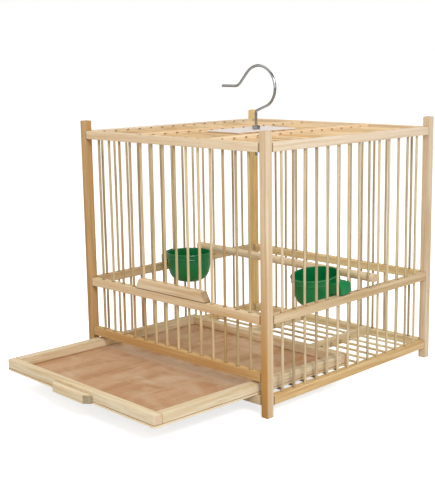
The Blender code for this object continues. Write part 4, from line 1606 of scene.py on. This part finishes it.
@dataclass
class SwivelHook(Assembly):
    """White plate, washer under the roof, wire hook and its two nuts."""

    wire: float = 1.7 * MM
    ahead: float = 3.4 * MM
    plate_width: float = 53.0 * MM
    plate_length: float = 97.0 * MM
    plate_shift: float = 7.6 * MM
    plate_turn: float = math.radians(3)
    washer_radius: float = 13 * MM
    across_flats: float = 8.5 * MM
    rod_below: float = 32.0 * MM
    corner: float = 4.0 * MM
    start: float = math.radians(-70)
    lower_bow: float = 22.5 * MM
    lower_end: float = math.radians(-5)
    bow: float = 26.0 * MM
    offset: float = 4.8 * MM
    above: float = 48.5 * MM
    end: float = math.radians(137)
    lead: float = 16.7 * MM
    flip: float = 12.0 * MM
    tip: float = 21.4 * MM

    def build(self) -> None:
        """Build the plate, the washer, the hook and the nuts."""
        self._plate()
        self._washer()
        self._hook()
        for node in ("hook_nut_upper", "hook_nut_lower"):
            self._nut(node)

    @property
    def stem_y(self) -> float:
        """Where the rod stands, from front to back."""
        return self.sizes.shift_y - self.ahead

    def _zinc(self, piece: Thing) -> Thing:
        """Give a washer or a nut its plating, and return it."""
        return self.shop.dress(piece, PlatedSteel("zinc_nut", "#B4B7BC", "#62666D", 0.24, 1.5))

    def _plate(self) -> None:
        """Build the white plate, which lies a little turned on the roof bars."""
        low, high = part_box("hook_plate")
        level = (low.z + high.z) / 2
        half = Vector((self.plate_width / 2, self.plate_length / 2, (high.z - low.z) / 2))
        plate = rounded_block("roof_plate", -half, half, 0.25 * MM, 2)
        plate.data.transform(Matrix.Translation((-self.plate_shift, self.stem_y, level))
                             @ Matrix.Rotation(-self.plate_turn, 4, "Z"))
        drill(plate, Run.Z, [(0, self.stem_y, level)], self.wire + 0.35 * MM, 5 * MM)
        self.shop.dress(plate, GlossyCard("glossy_card"))
        self.shop.hand_over(plate, "white_sheet", "frame", ["hook_plate"])

    def _washer(self) -> None:
        """Build the washer that bears on the roof bars from below."""
        low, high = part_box("hook_washer")
        middle = (low + high) / 2
        washer = start_from(bpy.ops.mesh.primitive_cylinder_add, "roof_washer", vertices=48,
                            radius=self.washer_radius, depth=high.z - low.z, location=middle)
        with editing(washer):
            select_where(washer, Pick.FACES, lambda at: (at.xy - middle.xy).length < MM)
            bpy.ops.mesh.bevel(offset=0.25 * MM, segments=2, affect="EDGES")
        drill(washer, Run.Z, [tuple(middle)], self.wire + 0.35 * MM, 5 * MM)
        self.shop.hand_over(self._zinc(washer), "nut_steel", "frame", ["hook_washer"])

    def _line(self) -> list[Vector]:
        """Centre line of the wire, from the rod's foot to the hook's tip.

        Returns:
            Its points.
        """
        def spoke(angle: float) -> Vector:
            """Unit vector at an angle in the plane of the hook."""
            return Vector((math.cos(angle), 0, math.sin(angle)))

        def arc(middle: Vector, radius: float, first: float, last: float,
                steps: int) -> list[Vector]:
            """Points on an arc in the plane of the hook."""
            return [middle + radius * spoke(first + (last - first) * step / steps)
                    for step in range(steps + 1)]

        centre = Vector((self.offset, self.stem_y, self.sizes.rail_top + self.above))
        inward = (self.bow - self.lower_bow) * spoke(self.lower_end)
        bight = [*arc(centre + inward, self.lower_bow, self.start, self.lower_end, 18)[:-1],
                 *arc(centre, self.bow, self.lower_end, self.end, 42)]
        rise = self.start + math.pi / 2
        turn = math.pi / 2 - rise
        corner = Vector((0, self.stem_y, bight[0].z - bight[0].x * math.tan(rise)))
        setback = self.corner * math.tan(turn / 2)
        bend = arc(corner + Vector((self.corner, 0, -setback)), self.corner, math.pi,
                   math.pi - turn, 12)
        heading = self.end + math.pi / 2
        run_out = bight[-1] + self.lead * spoke(heading)
        first = heading + math.pi / 2
        flip = arc(run_out - self.flip * spoke(first), self.flip, first, math.pi * 3 / 2, 16)
        foot = Vector((0, self.stem_y, self.sizes.rail_top - self.rod_below))
        return [foot, *bend, *bight, *flip, flip[-1] - Vector((self.tip, 0, 0))]

    def _hook(self) -> None:
        """Bend the hook and its rod from one wire."""
        curve = bpy.data.curves.new("hook_line", "CURVE")
        curve.dimensions = "3D"
        curve.bevel_depth = self.wire
        curve.bevel_resolution = 6
        curve.use_fill_caps = True
        line = self._line()
        spline = curve.splines.new("POLY")
        spline.points.add(len(line) - 1)
        for point, at in zip(spline.points, line):
            point.co = (*at, 1.0)
        take_alone(put_in_scene("wire_hook", curve))
        bpy.ops.object.convert(target="MESH")
        hook = name_it(bpy.context.active_object, "wire_hook")
        smooth_up_to(hook, 40)
        self.shop.dress(hook, PlatedSteel("nickel_wire", "#C6CACE", "#A0A5AB", 0.12, 9.0))
        self.shop.hand_over(hook, "chrome", "hook", ["hook_wire"], smooth=None)

    def _nut(self, node: str) -> None:
        """Build a hexagon nut with rounded corners.

        Args:
            node: Node that the nut stands for.
        """
        low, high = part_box(node)
        middle = (low + high) / 2
        nut = start_from(bpy.ops.mesh.primitive_cylinder_add, node.replace("hook_", "hex_"),
                         vertices=6, radius=self.across_flats / math.sqrt(3),
                         depth=high.z - low.z, location=middle)
        with editing(nut):
            bpy.ops.mesh.bevel(offset=0.35 * MM, segments=2, affect="EDGES")
        drill(nut, Run.Z, [tuple(middle)], self.wire + 0.3 * MM, 8 * MM)
        self.shop.hand_over(self._zinc(nut), "nut_steel", "hook", [node])


# The studio


@dataclass(frozen=True)
class Softbox:
    """Square soft lamp that faces the cage."""

    name: str
    at: Place
    size: float
    power: float
    colour: str
    aim: Place = (0, 0, 0.15)

    def hang(self) -> None:
        """Hang the lamp at its place."""
        lamp = bpy.data.lights.new(self.name, "AREA")
        lamp.shape = "SQUARE"
        lamp.size = self.size
        lamp.energy = self.power
        lamp.color = linear(self.colour)[:3]
        holder = put_in_scene(self.name, lamp)
        holder.location = self.at
        holder.rotation_mode = "QUATERNION"
        toward = Vector(self.aim) - Vector(self.at)
        holder.rotation_quaternion = toward.to_track_quat("-Z", "Y")


@dataclass(frozen=True)
class Studio:
    """White floor and surroundings, soft lamps and the camera."""

    image_width: int = 435
    image_height: int = 495
    focal_px: float = 1003.745
    centre_px: tuple[float, float] = (254.983, 240.656)
    eye: Place = (824.3 * MM, -884.6 * MM, 372.9 * MM)
    yaw: float = 43.2184
    pitch: float = 10.3886
    roll: float = -0.5687
    sensor: float = 36.0
    softboxes: tuple[Softbox, ...] = (
        Softbox("key_softbox", (1.45, -0.75, 1.25), 0.5, 19.0, "#FBFCFF"),
        Softbox("fill_softbox", (-0.9, -1.5, 0.9), 1.4, 5.0, "#FFF4E8"),
        Softbox("top_softbox", (-0.2, 0.45, 1.7), 1.5, 10.0, "#FFFBF2"))
    streaks: tuple[tuple[float, float], ...] = (
        (0.0, 0.75), (0.3, 0.9), (0.42, 0.2), (0.5, 0.2), (0.58, 0.42), (0.76, 0.26), (0.92, 0.2),
        (1.0, 0.3))
    window_toward: Place = (0.68, -0.73, 0.0)

    def build(self, shift_y: float) -> None:
        """Build the floor, the surroundings, the lamps and the camera.

        Args:
            shift_y: Place of the cage's middle from front to back.
        """
        bpy.context.scene.view_settings.view_transform = "Standard"
        self._floor()
        self._surroundings()
        for softbox in self.softboxes:
            softbox.hang()
        self._camera(shift_y)

    def _camera(self, shift_y: float) -> None:
        """Set the camera where the photograph was taken from.

        Args:
            shift_y: Place of the cage's middle from front to back.
        """
        lens = bpy.data.cameras.new("studio_camera")
        camera = put_in_scene("studio_camera", lens)
        long_side = max(self.image_width, self.image_height)
        lens.sensor_fit = "AUTO"
        lens.sensor_width = self.sensor
        lens.lens = self.focal_px * self.sensor / long_side
        lens.shift_x = (self.image_width / 2 - self.centre_px[0]) / long_side
        lens.shift_y = -(self.image_height / 2 - self.centre_px[1]) / long_side
        turn = (Matrix.Rotation(math.radians(self.yaw), 4, "Z")
                @ Matrix.Rotation(math.radians(90 - self.pitch), 4, "X")
                @ Matrix.Rotation(math.radians(self.roll), 4, "Z"))
        eye = Vector(self.eye) + Vector((0, shift_y, 0))
        camera.matrix_world = Matrix.Translation(eye) @ turn
        bpy.context.scene.camera = camera

    def _floor(self) -> None:
        """Lay a wide white floor that keeps a soft shadow."""
        floor = start_from(bpy.ops.mesh.primitive_plane_add, "studio_floor", size=60.0,
                           location=(0, 0, 0))
        material = bpy.data.materials.new("studio_paper")
        material.use_nodes = True
        tree = material.node_tree
        tree.nodes.clear()
        seen = add_node(tree, "LightPath", {}).outputs
        glossy = seen["Is Glossy Ray"]
        tone = add_node(tree, "Mix", {"data_type": "RGBA", 0: glossy, 6: grey(0.86), 7: grey(0.3)})
        paper = add_node(tree, "BsdfDiffuse", {"Color": tone.outputs[2]})
        mirrored = add_node(tree, "Math", {"operation": "MULTIPLY", 0: glossy, 1: 0.2})
        level = add_node(tree, "Math", {"operation": "MULTIPLY_ADD", 0: seen["Is Camera Ray"],
                                        1: 0.74, 2: mirrored.outputs[0]})
        glow = add_node(tree, "Emission", {"Color": grey(1.0), "Strength": level.outputs[0]})
        both = add_node(tree, "AddShader", {0: paper.outputs[0], 1: glow.outputs[0]})
        add_node(tree, "OutputMaterial", {"Surface": both.outputs[0]})
        floor.data.materials.append(material)

    def _surroundings(self) -> None:
        """Surround the cage with even light, white to the camera and streaked in reflections."""
        world = bpy.data.worlds.new("studio_world")
        bpy.context.scene.world = world
        world.use_nodes = True
        tree = world.node_tree
        tree.nodes.clear()
        seen = add_node(tree, "LightPath", {}).outputs
        toward = add_node(tree, "TexCoord", {}).outputs["Generated"]
        up = add_node(tree, "SeparateXYZ", {0: toward}).outputs[2]
        level = add_node(tree, "MapRange", {"From Min": -1.0, "From Max": 1.0, "Value": up})
        streak = add_node(tree, "ValToRGB", {
            "stops": [(place, grey(tone)) for place, tone in self.streaks],
            "Fac": level.outputs[0]})
        ahead = add_node(tree, "VectorMath", {"operation": "DOT_PRODUCT", 0: toward,
                                              1: self.window_toward})
        window = add_node(tree, "MapRange", {"From Min": 0.6, "From Max": 0.88, "To Max": 1.5,
                                             "Value": ahead.outputs["Value"]})
        brighter = add_node(tree, "Math", {"operation": "MAXIMUM", 0: streak.outputs[0],
                                           1: window.outputs[0]})
        ambient, mirrored, white = (
            add_node(tree, "Background", {"Color": colour, "Strength": strength}).outputs[0]
            for colour, strength in ((linear("#FFFCF6"), 0.44), (brighter.outputs[0], 1.0),
                                     (grey(1.0), 1.0)))
        glossy = add_node(tree, "MixShader", {0: seen["Is Glossy Ray"], 1: ambient, 2: mirrored})
        shown = add_node(tree, "MixShader", {0: seen["Is Camera Ray"], 1: glossy.outputs[0],
                                             2: white})
        add_node(tree, "OutputWorld", {"Surface": shown.outputs[0]})


def main() -> None:
    """Build every sub-assembly and the studio."""
    logging.basicConfig(level=logging.INFO, format="%(name)s: %(message)s")
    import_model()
    low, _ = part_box("post_front_left")
    _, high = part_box("post_back_right")
    sizes = CageSizes((low.y + high.y) / 2)
    shop = Workshop()
    Studio().build(sizes.shift_y)
    for assembly in (CageFrame(sizes, shop), LiftDoor(sizes, shop), SlideTray(sizes, shop),
                     FeederCup(sizes, shop, "left_cup", -1, 0.0),
                     FeederCup(sizes, shop, "right_cup", 1, math.radians(8)),
                     Perch(sizes, shop), SwivelHook(sizes, shop)):
        assembly.build()
        LOG.info("%s done", type(assembly).__name__)


if __name__ == "__main__":
    main()
